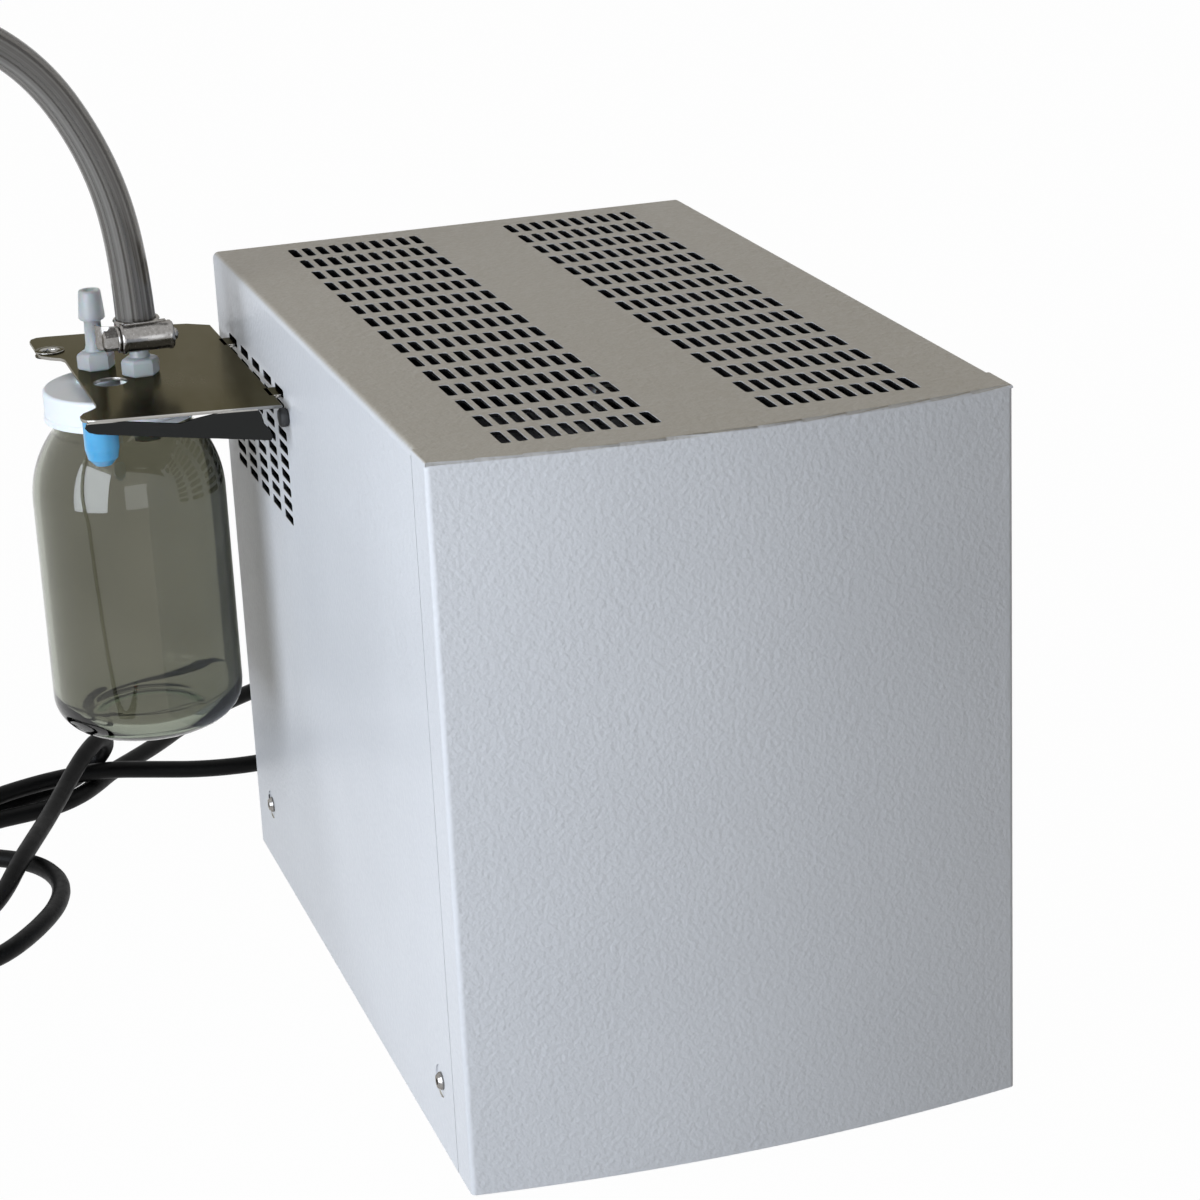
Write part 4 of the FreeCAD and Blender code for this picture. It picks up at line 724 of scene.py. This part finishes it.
SCREW_NECK = [
    (0, 6.4), (5.6, 6.4), (5.9, 6.9), (5.9, 7.5), (3.1, SCREW_FLAT), (3.1, 32.6), (2.2, 34), (0, 34.8),
]


def lying(at):
    """The matrix that lays an upright lathe along +x from a point."""
    return Matrix.Translation(spot(at)) @ Matrix.Rotation(math.radians(90), 4, "Y")


def hexagon(mesh, profile, axis):
    """A profile turned in six flat sides, the first thing in its mesh."""
    lathe(mesh, in_metres(profile), axis, steps=6)
    for face in mesh.faces:
        face.smooth = False


def make_clamp():
    mesh = bmesh.new()
    lathe(mesh, in_metres(BAND), spot((*CLAMP_AT, BAND_Z)), steps=64)
    path = TAIL + [(x, y + TAIL_T) for x, y in TAIL[::-1]]
    sheet(mesh, [path], BAND_W - 1, Matrix.Translation(spot((0, 0, BAND_Z + BAND_W / 2))))
    finish_piece(mesh, "band", "bright_screw", "housing", ["clamp_band"])
    mesh = bmesh.new()
    lathe(mesh, in_metres(SHELL), Vector(), steps=64)
    bmesh.ops.transform(mesh, matrix=lying((SHELL_X, WORM_Y, WORM_Z)), verts=mesh.verts)
    right, front, up = Vector((1, 0, 0)), Vector((0, -1, 0)), Vector((0, 0, 1))
    seat = spot((SHELL_X + SHELL_LONG / 2, SADDLE_Y, WORM_Z))
    sheet(mesh, [SADDLE], SADDLE_T, frame_of(right, up, front, seat))
    finish_piece(mesh, "worm_shell", "bright_screw", "housing", ["clamp_housing"])
    mesh = bmesh.new()
    hexagon(mesh, SCREW_HEAD, Vector())
    lathe(mesh, in_metres(SCREW_NECK), Vector(), steps=48)
    start = (SHELL_X - SCREW_FLAT - SCREW_GAP, WORM_Y, WORM_Z)
    bmesh.ops.transform(mesh, matrix=lying(start), verts=mesh.verts)
    finish_piece(mesh, "worm_screw", "bright_screw", "clamp_worm", ["clamp_screw"])


# The two fittings in the lid: a hexagon with eased edges, a stem and a barb, bored through

PORTS = (("open", -188.8, 142.9, ["lid_port_open"]), ("hose", -171.7, 122, ["lid_port_hose"]))
PORT_BORE, PORT_LOW = 3, -30
PORT_HEX = [
    (6.4, 0), (8.2, 0), (8.8, 0.7), (8.8, 6.2), (8.2, 7.4), (6.9, 8.1), (4.6, 8.4), (4.6, 1), (6.4, 0),
]
PORT_STEM = [
    (PORT_BORE, PORT_LOW), (6.2, PORT_LOW), (6.5, -29), (6.5, 0.5), (4.7, 0.8), (4.7, 9), (4.1, 11),
    (3.9, 22.6), (5.4, 23.2), (6.1, 24), (6.1, 25), (5.2, 36), (4.8, 37), (PORT_BORE, 37),
    (PORT_BORE, PORT_LOW),
]


def make_ports():
    for name, x, y, nodes in PORTS:
        mesh = bmesh.new()
        here = spot((x, y, PLATE_Z))
        hexagon(mesh, PORT_HEX, here)
        lathe(mesh, in_metres(PORT_STEM), here, steps=48)
        finish_piece(mesh, "port_" + name, "milky_plastic", "housing", nodes)


# A black sheet behind the right side's slots: painted shade, which keeps the slots dark from inside

SLOT_SHADE = [(44, 196), (182, 196), (182, 282), (44, 282)]
SLOT_SHADE_X, SLOT_SHADE_T = 117.6, 0.8


def make_slot_shade():
    mesh = bmesh.new()
    back, up = Vector((0, 1, 0)), Vector((0, 0, 1))
    sheet(mesh, [SLOT_SHADE], SLOT_SHADE_T, frame_of(back, up, back.cross(up), spot((SLOT_SHADE_X, 0, 0))))
    finish_piece(mesh, "slot_shade", "black_rubber", "housing")


# Bumper between flange and wall

PAD = [(0, 0), (3.6, 0), (4.3, 0.7), (4.3, 3.2), (3.6, 3.9), (0, 3.9)]
PAD_AT = (PLATE_X, 47.5, 268.5)


def make_pad():
    mesh = bmesh.new()
    lathe(mesh, in_metres(PAD), Vector(), steps=32)
    bmesh.ops.transform(mesh, matrix=lying(PAD_AT), verts=mesh.verts)
    finish_piece(mesh, "round_pad", "black_rubber", "housing", ["wall_pad"])


# Rounded corners of the cover's slots, which the solids leave square

WALL = 1.5
TOP_Z, HALF_W, HALF_D = 313, 120, 196
SLOT_W, SLOT_L, SLOT_ROUND = 4.2, 17.5, 1.3
SIDE_SLOT_RISE = 4.1
PITCH_X, PITCH_Y, PITCH_Z = 6.7, 24.86, 6.63
TOP_COLUMNS, TOP_ROWS, SIDE_COLUMNS, SIDE_ROWS = 10, 15, 5, 10
BANK_IN, ROW_FRONT, SIDE_Y, SIDE_DROP = 24, 21, 62.5, 36
ARC_STEPS = 5

# The fills lie this much under the sheet's face, so that no two faces share a plane
SUNK = 0.004


def corner_fill(mesh, corner, right, up, deep):
    """Fills a square corner to an arc; right and up lead from the corner into the opening."""
    outline = [corner]
    for i in range(ARC_STEPS + 1):
        turn = math.radians(180 + 90 * i / ARC_STEPS)
        middle = corner + (right + up) * SLOT_ROUND
        outline.append(middle + (right * math.cos(turn) + up * math.sin(turn)) * SLOT_ROUND)
    near = [mesh.verts.new(spot(point)) for point in outline]
    far = [mesh.verts.new(spot(point + deep)) for point in outline]
    for i in range(1, len(near) - 1):
        mesh.faces.new((near[0], near[i], near[i + 1]))
        mesh.faces.new((far[0], far[i + 1], far[i]))
    for i in range(1, len(near) - 1):
        mesh.faces.new((near[i], far[i], far[i + 1], near[i + 1]))


def slot_corners(mesh, middle, along, across, half_long, half_wide, deep):
    for side in (-1, 1):
        for end in (-1, 1):
            corner = middle + along * (end * half_long) + across * (side * half_wide)
            corner_fill(mesh, corner, along * -end, across * -side, deep)


def make_slot_corners():
    mesh = bmesh.new()
    x, y, z = Vector((1, 0, 0)), Vector((0, 1, 0)), Vector((0, 0, 1))
    for column in range(TOP_COLUMNS):
        for row in range(TOP_ROWS):
            for side in (-1, 1):
                place = Vector((side * (BANK_IN + column * PITCH_X), ROW_FRONT - HALF_D + row * PITCH_Y,
                                TOP_Z - SUNK))
                slot_corners(mesh, place, y, x, SLOT_L / 2, SLOT_W / 2, z * -WALL)
    for column in range(SIDE_COLUMNS):
        for row in range(SIDE_ROWS):
            for side in (-1, 1):
                place = Vector((side * (HALF_W - SUNK), SIDE_Y + column * PITCH_Y,
                                TOP_Z - SIDE_DROP - row * PITCH_Z))
                slot_corners(mesh, place, y, z, SLOT_L / 2, SIDE_SLOT_RISE / 2, x * (-side * WALL))
    finish_piece(mesh, "slot_corners", "powder_grey", "housing")


# This share of the floor's white is light of its own; the rest is lit, and lets a faint shadow show
FLOOR_HALF, FLOOR_DROP = 6, 0.0002
WHITE_SHARE = 0.985


def make_floor():
    """A wide pale floor that shows white and keeps a faint shadow of the object."""
    n = Nodes("paper")
    n.put(Roughness=0.9)
    n.colour(n.noise(3, 2), (0.33, 0.33, 0.33), (0.36, 0.36, 0.36))
    white = n.add("ShaderNodeEmission")
    white.inputs["Color"].default_value = (1, 1, 1, 1)
    mix = n.add("ShaderNodeMixShader")
    n.join(n.maths("MULTIPLY", white_rays(n.tree), WHITE_SHARE), mix.inputs["Fac"])
    n.join(n.shader.outputs["BSDF"], mix.inputs[1])
    n.join(white.outputs["Emission"], mix.inputs[2])
    n.join(mix.outputs["Shader"], n.output.inputs["Surface"])
    mesh = bmesh.new()
    bmesh.ops.create_grid(mesh, x_segments=8, y_segments=8, size=FLOOR_HALF)
    data = bpy.data.meshes.new("floor")
    mesh.to_mesh(data)
    mesh.free()
    data.materials.append(n.material)
    obj = bpy.data.objects.new("floor", data)
    obj.location = (0, 0, -FLOOR_DROP)
    bpy.context.scene.collection.objects.link(obj)


def white_rays(tree):
    """One for a ray that the eye, a mirror or a glass sends, and nought for the light's own rays."""
    seen = tree.nodes.new("ShaderNodeLightPath")
    total = seen.outputs["Is Camera Ray"]
    for name in ("Is Transmission Ray", "Is Glossy Ray"):
        either = tree.nodes.new("ShaderNodeMath")
        either.operation = "MAXIMUM"
        tree.links.new(total, either.inputs[0])
        tree.links.new(seen.outputs[name], either.inputs[1])
        total = either.outputs["Value"]
    return total


def make_world(strength):
    """A soft room, warm from above and cool from the sides, that mirrors, glass and the eye see white."""
    world = bpy.data.worlds.new("world")
    bpy.context.scene.world = world
    world.use_nodes = True
    tree = world.node_tree
    place = tree.nodes.new("ShaderNodeTexCoord")
    parts = tree.nodes.new("ShaderNodeSeparateXYZ")
    tree.links.new(place.outputs["Generated"], parts.inputs["Vector"])
    tone = tree.nodes.new("ShaderNodeMix")
    tone.data_type = "RGBA"
    tone.inputs["A"].default_value = (0.90, 0.95, 1.0, 1)
    tone.inputs["B"].default_value = (0.66, 0.51, 0.27, 1)
    tree.links.new(parts.outputs["Z"], tone.inputs["Factor"])
    sky = tree.nodes["Background"]
    tree.links.new(tone.outputs["Result"], sky.inputs["Color"])
    sky.inputs["Strength"].default_value = strength
    bright = tree.nodes.new("ShaderNodeBackground")
    bright.inputs["Color"].default_value = (1, 1, 1, 1)
    bright.inputs["Strength"].default_value = 1.0
    mix = tree.nodes.new("ShaderNodeMixShader")
    tree.links.new(white_rays(tree), mix.inputs["Fac"])
    tree.links.new(sky.outputs["Background"], mix.inputs[1])
    tree.links.new(bright.outputs["Background"], mix.inputs[2])
    tree.links.new(mix.outputs["Shader"], tree.nodes["World Output"].inputs["Surface"])


AIM = Vector((0.03, 0, 0.16))


def make_lamp(name, azimuth, elevation, distance, size, power, colour):
    """An area lamp aimed at the middle of the pump."""
    data = bpy.data.lights.new(name, "AREA")
    data.shape = "RECTANGLE"
    data.size, data.size_y = size
    data.energy = power
    data.color = colour
    lamp = bpy.data.objects.new(name, data)
    turn, rise = math.radians(azimuth), math.radians(elevation)
    away = Vector((math.sin(turn) * math.cos(rise), -math.cos(turn) * math.cos(rise), math.sin(rise)))
    lamp.location = AIM + away * distance
    lamp.rotation_euler = (-away).to_track_quat("-Z", "Y").to_euler()
    bpy.context.scene.collection.objects.link(lamp)


def make_light():
    make_world(strength=0.23)
    make_lamp("window", azimuth=-62, elevation=13, distance=1.6, size=(1.2, 1.3), power=32,
              colour=(0.83, 0.90, 1.0))
    make_lamp("front_fill", azimuth=0, elevation=6, distance=2.4, size=(1.6, 1.4), power=10,
              colour=(0.90, 0.94, 1.0))
    bpy.context.scene.view_settings.view_transform = "Standard"


make_camera()
dress_nodes()
make_cords()
make_jar()
make_bracket()
make_clamp()
make_ports()
make_slot_shade()
make_pad()
make_slot_corners()
make_floor()
make_light()

bpy.context.view_layer.update()
